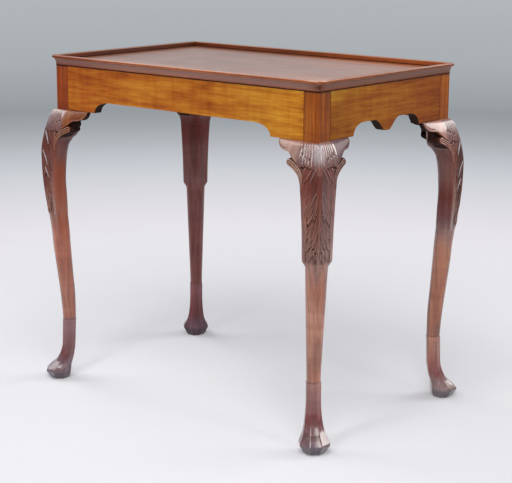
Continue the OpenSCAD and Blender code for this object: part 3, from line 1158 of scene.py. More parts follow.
    def squared_half(self, z: float) -> np.ndarray:
        """Works out half a squared ring.

        Args:
            z: The ring's height.

        Returns:
            Its points, from the ridge to the inner corner.
        """
        drop = max(self.frame.rail_foot - z, 0.0)
        high = float(self.bulge(drop))
        low, ridge, inner = (float(pattern(self.knee, column, drop)) for column in (1, 2, 3))
        arris = min(float(blended(self.joint_radius, self.arris_radius, rise(drop, 50, 14))),
                    1.5 + drop / 10)
        outer = np.vstack([self.arc(high - ridge, high - ridge, ridge, 45),
                           self.arc(low + arris, high - arris, arris, 90)])
        back = np.vstack([self.arc(low + arris, high - arris, arris, 135),
                          self.arc(low + inner, low + inner, inner, 180)])
        return np.vstack([resample(outer, self.outer_steps + 1),
                          resample(back, self.inner_steps + 1)[1:]])

    def facet(self, angle: np.ndarray) -> np.ndarray:
        """Works out an eight-sided ring with soft arrises and hollow facets.

        Args:
            angle: The angle of each of its points.

        Returns:
            The share of the full radius at each.
        """
        power, eighth = self.facet_sharpness, np.pi / 4
        total = sum(np.maximum(np.cos(angle - k * eighth), 0) ** power for k in range(8))
        flat = math.cos(math.pi / 8) * total ** (-1 / power)
        off = np.abs(np.mod(angle + eighth / 2, eighth) / eighth - 0.5) * 2
        return flat - self.facet_hollow * (1 - off**2)

    def half_rings(self) -> tuple[np.ndarray, np.ndarray]:
        """Works out the half rings of the leg before it is carved.

        Returns:
            The height of each ring, and the points of each half ring.
        """
        heights = self.heights()
        even = np.linspace(0, np.pi, self.outer_steps + self.inner_steps + 1)
        mouth = float(pattern(self.shank, 1, 1.0))
        join = self.squared_half(self.tongue)
        u, v = (join[:, 0] + join[:, 1]) / math.sqrt(2), (join[:, 1] - join[:, 0]) / math.sqrt(2)
        squared = np.unwrap(np.arctan2(v, u - mouth))
        squared = np.pi * (squared - squared[0]) / (squared[-1] - squared[0])
        rings = []
        for z in heights:
            share = (z - self.stocking_height) / (self.tongue - self.stocking_height)
            angle = blended(even, squared, float(rise(share, 0.05, 0.9)))
            in_stocking = z <= self.stocking_height
            table, at = (self.foot, z) if in_stocking else (self.shank, share)
            centre, along, across = (float(pattern(table, column, at)) for column in (1, 2, 3))
            reach: Spot = 1.0
            if in_stocking:
                reach = self.facet(angle)
                past = max(0.0, z - self.stocking_height + 1)
                round_over = self.stocking_round * (1 - math.sqrt(max(0.0, 1 - past**2)))
                along += self.foot_skin - round_over
                across += self.foot_skin - round_over
            else:
                along -= self.stocking_step
                across -= self.stocking_step * (1 - float(ease(share * 3)))
            u, v = centre + reach * along * np.cos(angle), reach * across * np.sin(angle)
            ring = np.stack([(u - v) / math.sqrt(2), (u + v) / math.sqrt(2)], axis=1)
            turn = float(rise(z, self.tongue - self.tongue_half, 2 * self.tongue_half))
            if turn > 0:
                ring = blended(ring, self.squared_half(z), turn)
            rings.append(ring)
        return heights, np.array(rings)

    def outward(self, rings: np.ndarray) -> np.ndarray:
        """Works out the way the surface of the leg looks.

        Args:
            rings: The points of the leg, as rings.

        Returns:
            The direction out of the wood at each point, of length 1.
        """
        round_way = np.roll(rings, -1, axis=1) - np.roll(rings, 1, axis=1)
        normal = np.cross(np.gradient(rings, axis=0), round_way)
        normal /= np.maximum(np.linalg.norm(normal, axis=2, keepdims=True), 1e-9)
        centre = rings.mean(axis=1, keepdims=True)
        return np.sign(((rings - centre) * normal).sum(axis=2).mean()) * normal

    def carved(self) -> tuple[np.ndarray, dict[str, np.ndarray]]:
        """Works out the whole leg, in its corner's own frame.

        Returns:
            The points as rings, and the facts of each: its recess, grime and painted shade in
            the hollows, its pale raised edges with painted highlight, the painted highlight on the
            strokes and the painted sheen on the fan, the painted grey sheen on one half of the knee,
            and whether it is on a plain side.
        """
        heights, half = self.half_rings()
        steps = np.linalg.norm(np.diff(half, axis=1), axis=2)
        reach = np.concatenate([np.zeros((len(heights), 1)), np.cumsum(steps, axis=1)], axis=1)
        arris = reach[:, self.outer_steps][:, None]
        z = np.repeat(heights[:, None], reach.shape[1], axis=1)
        drop, edge = self.frame.rail_foot - z, np.maximum(arris - reach, 0)
        knee = (drop > 0) & (z > self.tongue - 4) & (reach <= arris)
        depth, strokes = self.carving.relief(np.minimum(reach, arris), z, drop, edge)
        depth = depth * rise(z, self.tongue - 3, 10) * rise(edge, 0.4, 0.8) * ease(drop / 1.2)
        # Painted sheen on the fan under the rails, brightest down its ridge.
        fan = ease(drop / 3) * (1 - rise(drop, self.shine_drop, self.shine_fade)) * (
            0.25 + 0.6 * bell(reach, 0, self.shine_half))
        # Painted grey sheen on one half of the knee, standing in for a reflection.
        half_sheen = rise(z, self.half_sheen_foot, 40) * rise(z, self.half_sheen_head, -60) * rise(reach, 2, 4)
        depth, strokes, fan = (mirrored(np.where(knee, values, 0.0))
                               for values in (depth, strokes, fan))
        plain = np.zeros(reach.shape)
        plain[:, self.outer_steps:] = 1.0
        flat = mirrored(half, half[..., ::-1])
        level = np.repeat(heights[:, None, None], flat.shape[1], axis=1)
        rings = np.concatenate([flat, level], axis=2)
        rings = rings - self.outward(rings) * depth[..., None]
        soft = depth.copy()
        for _ in range(self.soft_passes):
            soft = (np.roll(soft, 1, 1) + 2 * soft + np.roll(soft, -1, 1)) / 4
            soft[1:-1] = (soft[:-2] + 2 * soft[1:-1] + soft[2:]) / 4
        # The recess darkens the hollows, as grime in the carving and as painted shade, most where a
        # point lies below its neighbours; raised edges turn pale, from wearing and as painted
        # highlight.
        return rings, {
            "recess": 0.6 * np.clip(
                (depth - self.hollow_start) / (self.hollow_full - self.hollow_start), 0, 1)
            + np.clip((depth - soft) * 1.7, 0, 1),
            "wear": np.clip((soft - depth) * 0.8 - 0.08, 0, 1), "strokes": strokes, "fan": fan,
            "half_sheen": mirrored(np.zeros(half_sheen.shape), half_sheen), "plain": mirrored(plain)}

    def zoned(self, age_and_light: AgeAndLight) -> list[Row]:
        """Tints the zones of the wood for one leg.

        Args:
            age_and_light: What the years have done to the leg, and the light painted on it.

        Returns:
            The height of each zone, its linear colour and its polish.
        """
        rows = []
        for height, colour, polish in self.zones:
            tint = (age_and_light.stocking if height < self.shank_foot else age_and_light.shank
                    if height < self.knee_foot else age_and_light.knee
                    if height < self.frame.rail_foot else age_and_light.post)
            rows.append((height, *(a * b for a, b in zip(linear(colour), tint)), polish))
        return rows

    def build(self, workshop: Workshop) -> None:
        """Builds and dresses the four legs.

        Args:
            workshop: The workshop that makes the pieces.
        """
        rings, facts = self.carved()
        z = rings[..., 2]
        for corner, age_and_light in self.ages.items():
            side_x, side_y = self.frame.corners()[corner]
            # Painted light: highlights on the strokes, sheen on the fan and on one half of the knee,
            # and light and shade on the plain side between two heights.
            dust = facts["strokes"] * age_and_light.stroke_dust + facts["fan"] * age_and_light.fan_dust
            form = Form.tube(rings, {
                "recess": facts["recess"], "wear": facts["wear"],
                "dust": dust + facts["half_sheen"] * age_and_light.half_sheen,
                "stain": age_and_light.stain * facts["plain"] * rise(z, age_and_light.stain_foot, self.stain_fade)
                * rise(z, age_and_light.stain_head, -self.stain_fade)})
            form.points = self.frame.at_corner(form.points, side_x, side_y)
            if side_x * side_y < 0:
                form.faces = [face[::-1] for face in form.faces]
            mesh = form.mesh(f"leg_{corner}", flat_ends=2)
            mesh.set_sharp_from_angle(angle=math.radians(self.sharp_angle))
            wood = replace(
                LEG_WOOD, name=f"{LEG_WOOD.name}_{corner}", seed=age_and_light.seed, polish=age_and_light.polish,
                stain_colour=age_and_light.stain_colour, zones=self.zoned(age_and_light))
            workshop.piece(f"leg_{corner}", mesh, wood)


@dataclass
class KneeBlock:
    """The ear beside a knee, with the reeded scroll under it.

    Rows of the border hold the reach from the post and the drop of the ear's lower edge there.
    Rows of the scroll are the same for the scroll's middle line. Block looks hold the polish and the
    light and middle colours of the blocks that differ from the rest; these colours are painted light
    and shade, standing in for how each block is lit.
    """

    frame: Frame
    leg: Leg
    length: float = 59.0
    back: float = 10.0
    flatness: float = 0.55
    web_depth: float = 12.0
    web_reach: float = 25.0
    web_start: float = -12.0
    shadow: float = 1.1
    edge_round: float = 2.2
    channel: float = 0.55
    channel_inset: float = 4.6
    channel_half: float = 0.9
    channel_start: float = 30.0
    pale_line_inset: float = 1.6
    steps: int = 72
    rows: int = 30
    border: tuple = (
        (0, 41), (9, 34.8), (16.5, 29), (22, 24.4), (27, 21.6), (33, 20.4), (40, 19.8),
        (46, 18), (51, 14.8), (55, 10.4), (57.6, 5.4), (58.6, 1.8), (59, 0.25))
    scroll: tuple = (
        (-16.4, 86), (-16, 78), (-15.2, 70), (-12.2, 61), (-6, 53.6), (3, 46.8), (12, 42.1),
        (19, 39.2))
    scroll_radius: float = 7.0
    scroll_proud: float = 0.6
    scroll_steps: int = 34
    scroll_levels: int = 19
    reed_depth: float = 1.3
    shoulder: float = 1.6
    # Colours that paint how each of these blocks is lit.
    block_looks: dict = field(default_factory=lambda: {
        "front_left_long": (0.2, (150, 86, 38), (110, 58, 24)),
        "front_right_long": (0.8, (160, 124, 110), (132, 96, 84)),
        "front_right_short": (0.1, (112, 88, 96), (88, 66, 74)),
        "back_right_short": (0.86, (176, 112, 92), (140, 82, 66))})
    first_seed: float = 7.3

    def placed(self, reach: np.ndarray, face: np.ndarray, drop: np.ndarray) -> np.ndarray:
        """Points at a reach from the post, a distance from the rail's face and a drop below it."""
        return np.stack([-self.frame.post_side - reach, face, self.frame.rail_foot - drop], axis=-1)

    def front(self, reach: np.ndarray, drop: np.ndarray) -> np.ndarray:
        """Returns how far the block's face stands out from the rail."""
        fade = 1 - self.flatness * (np.maximum(reach, 0) / self.length) ** 2
        return fade * self.leg.bulge(drop)

    def rear(self, skin: np.ndarray) -> np.ndarray:
        """Works out the points behind a skin, on the block's back.

        Args:
            skin: The skin's points.

        Returns:
            The points behind them.
        """
        flat = skin.copy()
        flat[..., 1] = -self.back
        return flat

    def ear(self) -> Form:
        """Works out the ear: its face, its rounded edge and its back.

        Returns:
            The ear, with its recess, a painted shadow on its back and walls, and a pale line inside
            its edge.
        """
        at = np.linspace(0, 1, self.steps) ** 0.9 * self.length
        edge = pattern(self.border, 1, at)[:, None]
        reach = np.repeat(at[:, None], self.rows, axis=1)
        drop = edge * (1 - np.cos(np.linspace(0, np.pi / 2, self.rows)))[None, :]
        inside = np.minimum(edge - drop, (self.length - reach) * 1.2 + 0.3)
        near = 1 - np.clip(inside / self.edge_round, 0, 1)
        round_over = self.edge_round * (1 - np.sqrt(np.clip(1 - near**2, 0, 1)))
        channel = bell(inside, self.channel_inset, self.channel_half) * rise(
            reach, self.channel_start, 6)
        face = self.front(reach, drop) - round_over - self.channel * channel
        skin = self.placed(reach, np.maximum(face, -self.back + 1), drop)
        rear = self.rear(skin)
        walls = [blended(skin[:, -1:], rear[:, -1:], share) for share in (0.25, 0.5, 0.75)]
        grid = np.concatenate([skin, *walls, rear[:, ::-1]], axis=1)
        # The back and walls get the painted shadow, and the channel is darkened.
        recess = np.full(grid.shape[:2], self.shadow)
        recess[:, :self.rows] = channel * 0.7
        # A pale line just inside the ear's rounded edge.
        wear = np.zeros(grid.shape[:2])
        wear[:, :self.rows] = bell(inside, self.pale_line_inset, 1.0) * 0.5
        return Form.tube(grid, {"recess": recess, "wear": wear})

    def roll(self) -> Form:
        """Works out the reeded scroll, which curls at its outer end.

        Returns:
            The scroll, with its recess, painted shade in the grooves over a darker tone, and a
            painted highlight on its reeds' crowns.
        """
        count = self.scroll_steps
        spine = resample(np.array(self.scroll, float), count)
        way = np.gradient(spine, axis=0)
        way /= np.linalg.norm(way, axis=1, keepdims=True)
        across = np.stack([-way[:, 1], way[:, 0]], axis=1)
        turn = np.linspace(0, np.pi, 25)[1:-1, None]
        cap = np.cos(turn) * across[-1] + np.sin(turn) * way[-1]
        origin = np.vstack([spine, np.repeat(spine[-1:], len(turn), axis=0), spine[::-1]])
        ray = np.vstack([across, cap, -across[::-1]])
        travel = np.concatenate([np.linspace(0, 1, count), np.ones(len(turn)),
                                 np.linspace(1, 0, count)])
        radius = self.scroll_radius * (
            0.3 + 0.62 * ease(travel / 0.6) + 0.08 * rise(travel, 0.8, 0.2))
        rings, recess, wear = [], [], []
        for level in np.linspace(0, 1, self.scroll_levels):
            reach, drop = (origin + ray * (radius * level)[:, None]).T
            reed = abs(math.cos(1.5 * math.pi * level))
            past = max(0.0, (level - 0.8) / 0.2)
            depth = self.reed_depth * (1 - reed) + self.shoulder * (
                1 - math.sqrt(max(0.0, 1 - past**2)))
            face = self.front(reach, drop) + self.scroll_proud - depth
            rings.append(self.placed(reach, face, drop))
            # Painted shade in the grooves between the reeds over a darker tone for the whole scroll,
            # and a painted highlight on the reeds' crowns.
            recess.append(min(1.0, 0.22 + (1 - reed) ** 1.2 * 0.75))
            wear.append(0.8 * reed**6)
        brow = rings[-1]
        rings += [blended(brow, self.rear(brow), share) for share in (0.3, 0.65, 1.0)]
        rings.append(self.rear(rings[0]))
        shares = [recess + [self.shadow] * 4, wear + [0.0] * 4]
        grid = np.array(rings)
        recesses, wears = (np.repeat(values, grid.shape[1]) for values in shares)
        faces = grid_faces(*grid.shape[:2], False)
        return Form(grid.reshape(-1, 3), faces, {"recess": recesses, "wear": wears})

    def web(self) -> Form:
        """Works out the sunk ground between the ear and the scroll.

        Returns:
            The web, with the painted shadow as its recess and no pale marks.
        """
        reach = np.linspace(self.web_start, self.web_reach, 20)[:, None]
        upper = pattern(self.border, 1, np.maximum(reach, 0)) - 3
        lower = np.maximum(pattern(self.scroll, 1, reach) - 1, upper + 1)
        drop = blended(upper, lower, np.linspace(0, 1, 6)[None, :])
        reach = np.repeat(reach, drop.shape[1], axis=1)
        skin = self.placed(reach, self.front(reach, drop) - self.web_depth, drop)
        grid = np.concatenate([skin, self.rear(skin)[:, ::-1]], axis=1)
        recess = np.full(grid.shape[:2], self.shadow)
        return Form.tube(grid, {"recess": recess, "wear": np.zeros(recess.shape)})

    def build(self, workshop: Workshop) -> None:
        """Builds and dresses the eight knee blocks.

        Args:
            workshop: The workshop that makes the pieces.
        """
        block = Form.joined([self.ear(), self.roll(), self.web()])
        blocks = [(f"{corner}_{'short' if swap else 'long'}", *sides, swap)
                  for corner, sides in self.frame.corners().items() for swap in (False, True)]
        for number, (name, *place) in enumerate(blocks):
            points = self.frame.at_corner(block.points, *place)
            mesh = tidied(Form(points, block.faces, block.facts).mesh(f"knee_block_{name}"))
            wood = replace(EAR_WOOD, name=f"{EAR_WOOD.name}_{name}", seed=self.first_seed + number)
            if name in self.block_looks:
                polish, light, middle = self.block_looks[name]
                wood = replace(wood, polish=polish, light=light, middle=middle)
            workshop.piece(f"knee_block_{name}", mesh, wood)


@dataclass
class Rim:
    """The moulded rim round the tray, in four mitred strips.

    Rows of the shades hold the place along the side, the tint and the polish; the tints paint
    shade on the inner faces of the back and left strips, darkest there, and on the right strip,
    and darken the front strip towards its left end. Painted corners hold which end of a side gets
    a painted highlight on its crown and a painted dark reflection on its cove.
    """

    frame: Frame
    height: float = 22.0
    overhang: float = 9.5
    inset: float = 1.0
    lip_height: float = 5.5
    lip_corner: float = 12.0
    cove_foot: float = 0.8
    cove_step: float = 1.0
    quirk: float = 0.4
    edge_radius: float = 2.0
    lip_edge: float = 2.0
    crown_sag: float = 0.25
    groove_height: float = 2.0
    board_height: float = 11.5
    stations: int = 26
    sharp_angle: float = 40.0
    first_seed: float = 20.7
    # The right strip's cove gets a darker grey painted reflection.
    grey_dust: Colour = (124, 96, 86)
    # Lit and shaded copies of one wood: the tints paint shade.
    shades: dict = field(default_factory=lambda: {
        Side.FRONT: ((-370, 0.55, 0.4, 0.35, 0.2), (-290, 0.7, 0.55, 0.5, 0.5),
                     (-190, 0.95, 0.95, 1, 1), (100, 1, 1, 1, 1), (370, 0.85, 0.85, 0.9, 1)),
        Side.RIGHT: ((-240, 0.8, 0.72, 0.6, 0.35), (0, 0.6, 0.6, 0.6, 0.4),
                     (240, 0.65, 0.6, 0.55, 0.45)),
        Side.BACK: ((-370, 0.34, 0.3, 0.3, 0.3), (-100, 0.5, 0.44, 0.4, 0.3),
                    (370, 0.72, 0.64, 0.5, 0.3)),
        Side.LEFT: ((-240, 0.32, 0.26, 0.22, 0.05), (240, 0.22, 0.18, 0.18, 0.05))})
    painted_corners: dict = field(default_factory=lambda: {Side.FRONT: 1, Side.RIGHT: -1})

    @property
    def lip_foot(self) -> float:
        """Height of the foot of the lip, above the rails."""
        return self.height - self.lip_height

    def section(self) -> np.ndarray:
        """Works out the rim's outline.

        Returns:
            Its points: X out from the face of the rails, Y up from their top.
        """
        head = self.lip_foot
        a = np.radians(np.linspace(0, 90, 17))
        sine, cosine = np.sin(a), np.cos(a)
        root = self.overhang - self.quirk
        cove = np.stack([root - (root - self.cove_foot) * cosine,
                         self.cove_step + (head - self.cove_step) * sine], axis=1)
        outer = np.stack([self.overhang - self.lip_edge * (1 - cosine),
                          self.height - self.lip_edge * (1 - sine)], axis=1)
        under = np.stack([self.overhang - self.quirk * (1 - sine),
                          head + self.quirk * (2 - cosine)], axis=1)
        up = np.linspace(head + 2.4 * self.quirk, self.height - self.lip_edge - 0.2, 9)
        groove = self.quirk * bell(up, head + self.groove_height, 0.5)
        lip = np.stack([self.overhang - groove, up], axis=1)
        inner = np.stack([-self.inset + self.edge_radius * (1 - sine),
                          self.height - self.edge_radius * (1 - cosine)], axis=1)
        crown = np.linspace(outer[-1], inner[0], 5)[1:-1]
        crown[:, 1] -= self.crown_sag * np.sin(np.linspace(0, np.pi, 5))[1:-1]
        foot = [[-self.inset, self.board_height + rest] for rest in (2.6, 0.9)]
        return np.vstack([[[-self.inset, 0], [self.cove_foot, 0]], cove, under, lip, outer, crown,
                          inner, foot])

    def facts(self) -> dict[str, np.ndarray]:
        """Works out the painted shade, highlights and reflection round the outline, with some grime.

        Returns:
            The recess, the painted highlights and the painted sheen of each of its points.
        """
        x, y = self.section().T
        head, lip = self.lip_foot, x > 5
        edge = x > self.overhang - 1.0
        # Painted shadow: a dark line at the foot of the cove, over the rails, and one at the foot of
        # the inner face, over the board.
        dirt_and_shade = np.where(x > -self.inset + 0.1, 1.3 * rise(y, 3.2, -2.0),
                        1.1 * rise(y, self.board_height + 2.0, -1.2))
        # Painted shade, with some grime: the groove in the lip's face, and the lip's outer face below
        # its top edge.
        dirt_and_shade += 0.3 * bell(y, head + self.groove_height, 0.55) * lip
        dirt_and_shade += 0.22 * edge * rise(y, self.height - 1.0, -1.5) * (y > head)
        # Painted highlights: pale lines along the crown's inner and outer edges, and at the lip's
        # foot.
        crown = rise(y, self.height - 2, 1.0)
        wear = bell(x, 0.2, 1.2) * crown + 0.6 * bell(x, self.overhang - 0.7, 0.9) * crown
        wear += 0.35 * bell(y, head + 0.3, 0.6) * lip
        # Painted reflection of the pale floor: the grey face of the cove.
        dust = rise(x, 0.5, 1.0) * rise(y, head - 0.4, -1.2) * rise(y, 1.6, 2.0)
        return {"recess": dirt_and_shade, "wear": wear, "dust": dust}

    def strip(self, side: Side) -> Form:
        """Sweeps the outline along one side, from one mitre to the other.

        Args:
            side: The side.

        Returns:
            The strip as if it were at the front, with its recess, painted highlights and painted
            sheen.
        """
        out, up = self.section().T
        half, reach = self.frame.half(side), self.frame.reach(side)
        radius = np.maximum(self.lip_corner - self.overhang + out, 0.4)
        left, right = [], []
        for a in np.radians(np.linspace(45, 0, 9)):
            x = half + out - radius * (1 - np.sin(a))
            y = reach + out - radius * (1 - np.cos(a))
            left.append(np.stack([-x, -y, self.frame.height + up], axis=1))
            right.insert(0, np.stack([x, -y, self.frame.height + up], axis=1))
        middle = [blended(left[-1], right[0], share)
                  for share in np.linspace(0, 1, self.stations)[1:-1]]
        grid = np.array(left + middle + right)
        return Form.tube(grid, {fact: np.tile(row, len(grid)) for fact, row in self.facts().items()})

    def paint_corner_light(self, form: Form, end: int, half: float) -> None:
        """Paints a highlight on the crown and a dark reflection on the cove at the end of a strip.

        Args:
            form: The strip, whose facts are changed.
            end: 1 where the painted end is towards +X, or else -1.
            half: Half the length of the side, over the rails.
        """
        x, y, z = (form.points * [end, 1, 1]).T
        x, z = x - half, z - self.frame.height
        crown = rise(z, self.height - 2.2, 1.2) * (y < 1 - self.frame.depth / 2)
        # Painted highlight on the crown beside the corner.
        form.facts["wear"] += 2.0 * bell(x, -3, 4.0) * crown
        # Painted dark reflection on the cove at the corner, in place of its painted grey.
        stain = bell(x, 2, 8.0) * bell(z, 9, 6.0)
        form.facts["recess"] += stain
        form.facts["dust"] *= 1 - stain

    def build(self, workshop: Workshop) -> None:
        """Builds and dresses the four strips.

        Args:
            workshop: The workshop that makes the pieces.
        """
        for side in Side:
            name = side.name.lower()
            form = self.strip(side)
            # The front strip's painted highlights fade out towards its left end.
            if side is Side.FRONT:
                form.facts["wear"] *= rise(form.points[:, 0], -250, 30)
            if side in self.painted_corners:
                self.paint_corner_light(form, self.painted_corners[side], self.frame.half(side))
            form.points = side.turned(form.points)
            mesh = tidied(form.mesh(f"rim_{name}"), self.sharp_angle)
            wood = replace(
                RIM_WOOD, name=f"{RIM_WOOD.name}_{name}", seed=self.first_seed + side.value,
                grain=side.grain, zone_axis=side.grain.value[0], zones=self.shades[side],
                dust_colour=self.grey_dust if side is Side.RIGHT else RIM_WOOD.dust_colour)
            workshop.piece(f"rim_{name}", mesh, wood)


@dataclass
class Board:
    """The wide board that forms the floor of the tray."""

    frame: Frame
    thickness: float = 11.5
    inset: float = 1.0
    wave: float = 0.12
    wave_lengths: Three = (31.0, 190.0, 13.0)
    short_share: float = 0.6
    calm_edge: float = 12.0
    columns: int = 90
    rows: int = 58
    sharp_angle: float = 40.0

    def build(self, workshop: Workshop) -> None:
        """Builds and dresses the board, whose surface has moved a little over the years.

        Args:
            workshop: The workshop that makes the pieces.
        """
        half_x, half_y = self.frame.length / 2 - self.inset, self.frame.depth / 2 - self.inset
        x, y = np.meshgrid(np.linspace(-half_x, half_x, self.columns),
                           np.linspace(-half_y, half_y, self.rows))
        across, along, short = self.wave_lengths
        moved = np.sin(y / across + 0.7) * np.cos(x / along)
        moved = moved + self.short_share * np.sin(y / short)
        calm = np.minimum(half_x - np.abs(x), half_y - np.abs(y)) / self.calm_edge
        sunk = self.wave * (1 + moved / (1 + self.short_share)) * ease(calm)
        top = self.frame.height + self.thickness - sunk
        upper = np.stack([x, y, top], axis=-1).reshape(-1, 3)
        lower = upper.copy()
        lower[:, 2] = self.frame.height
        count = len(upper)
        faces = grid_faces(self.rows, self.columns, False)
        under = [[index + count for index in face[::-1]] for face in faces]
        order = np.arange(count).reshape(self.rows, self.columns)
        rim = [*order[0], *order[1:, -1], *order[-1, -2::-1], *order[-2:0:-1, 0]]
        walls = [[rim[k], rim[k - 1], rim[k - 1] + count, rim[k] + count]
                 for k in range(len(rim))]
        form = Form(np.vstack([upper, lower]), faces + under + walls)
        mesh = tidied(form.mesh("top_board"), self.sharp_angle)
        workshop.piece("top_board", mesh, BOARD_WOOD)


@dataclass
class Fixings:
    """The screws and glue blocks that hold the top to the rails, and their places."""

    frame: Frame
    screw_d: float = 4.5
    head_d: float = 8.5
    head_height: float = 3.0
    slot_half: float = 0.7
    slot_depth: float = 2.1
    screw_length: float = 40.0
    neck: float = 14.0
    turns: int = 14
    around: int = 32
    bite: float = 6.5
    lean: float = 14.0
    pocket_length: float = 34.0
    pocket_room: float = 0.5
    seat_shift: float = 1.0
    block_length: float = 55.0
    block_side: float = 18.0
    block_edge: float = 0.7
    sharp_angle: float = 35.0
    screw_shares: Three = (-0.22, 0.0, 0.22)
    long_shares: tuple[float, ...] = (-0.33, -0.11, 0.11, 0.33)
    short_shares: tuple[float, ...] = (-0.22, 0.22)

    def screw_places(self, side: Side) -> list[float]:
        """Places of the screws along a side, from its middle."""
        shares = self.screw_shares if side.is_long else (0.0,)
        return [self.frame.rail(side) * share for share in shares]

    def block_places(self, side: Side) -> list[float]:
        """Places of the glue blocks along a side, from its middle."""
        shares = self.long_shares if side.is_long else self.short_shares
        return [self.frame.rail(side) * share for share in shares]

    def seat(self, x: float) -> Matrix:
        """Works out the place and lean of a screw.

        Args:
            x: The screw's place along its side.

        Returns:
            The place, with the head's seat at the origin and the point up.
        """
        lean = math.radians(self.lean)
        up = (self.screw_length - self.bite) * math.cos(lean)
        inward = self.frame.rail_thickness / 2 + self.seat_shift + up * math.tan(lean)
        place = Vector((x, inward, self.frame.height - up))
        return Matrix.Translation(place) @ Matrix.Rotation(lean, 4, "X")

    def screw_profile(self) -> list[tuple[float, float]]:
        """Works out the outline of a screw.

        Returns:
            The radius and height of each ring, from the top of the head to the point.
        """
        head, neck, low = self.head_d / 2, self.screw_d / 2, -self.head_height
        profile = [(0.0, low + 1.1), (head - 0.6, low + 0.5), (head, low + 1.2), (head, -0.3),
                   (head - 0.3, 0.0), (neck, 0.0), (neck, self.neck)]
        for turn in range(self.turns):
            z = self.neck + (self.screw_length - self.neck - 4.0) * turn / self.turns
            profile += [(neck - 0.6, z + 0.4), (neck, z + 1.1)]
        return profile + [(neck - 0.7, self.screw_length - 3.0), (0.0, self.screw_length)]

    def add_screw(self, body: bmesh.types.BMesh, place: Matrix) -> None:
        """Adds one screw: a slotted head, a plain neck and a thread of ridges.

        Args:
            body: The body that it is added to.
            place: The place of the screw.
        """
        slot_floor = self.slot_depth - self.head_height
        rings = []
        for radius, z in self.screw_profile():
            ring = []
            for k in range(self.around):
                a = 2 * math.pi * k / self.around
                x, y = radius * math.cos(a), radius * math.sin(a)
                proud = z < slot_floor and radius > 0 and abs(x) >= self.slot_half
                ring.append(body.verts.new(place @ Vector((x, y, -self.head_height if proud else z))))
            rings.append(ring)
        for lower, upper in zip(rings, rings[1:]):
            for k in range(self.around):
                n = (k + 1) % self.around
                body.faces.new((lower[k], lower[n], upper[n], upper[k]))

    def add_block(self, body: bmesh.types.BMesh, place: Matrix) -> None:
        """Adds one glue block: a bar with a sloping face and soft edges.

        Args:
            body: The body that it is added to.
            place: The place of the block's end, in the corner under the board.
        """
        side = self.block_side
        outline = [(0, 0), (side, 0), (side, -side / 3), (side / 3, -side), (0, -side)]
        ends = [[body.verts.new(place @ Vector((end, y, z))) for y, z in outline]
                for end in (0, self.block_length)]
        made = [body.faces.new(ends[0]), body.faces.new(ends[1][::-1])]
        for k in range(len(outline)):
            n = (k + 1) % len(outline)
            made.append(body.faces.new((ends[0][n], ends[0][k], ends[1][k], ends[1][n])))
        edges = list({edge for face in made for edge in face.edges})
        bmesh.ops.bevel(body, geom=edges, offset=self.block_edge, segments=2, affect="EDGES")

    def build(self, workshop: Workshop) -> None:
        """Builds and dresses the screws and the glue blocks.

        Args:
            workshop: The workshop that makes the pieces.
        """
        screws, blocks = bmesh.new(), bmesh.new()
        for side in Side:
            place = self.frame.place(side)
            for x in self.screw_places(side):
                self.add_screw(screws, place @ self.seat(x))
            for x in self.block_places(side):
                self.add_block(blocks, place @ Matrix.Translation(
                    (x - self.block_length / 2, self.frame.rail_thickness, self.frame.height)))
        workshop.piece("top_screws", tidied(poured("top_screws", screws, MM), self.sharp_angle),
                       Iron("screw_iron"))
        workshop.piece("glue_blocks", tidied(poured("glue_blocks", blocks, MM), self.sharp_angle),
                       BLOCK_WOOD)


class Edge(Enum):
    """The shape of an apron's lower edge."""

    ARCH = "one wide arch"
    PENDANT = "two arches with a pendant between them"


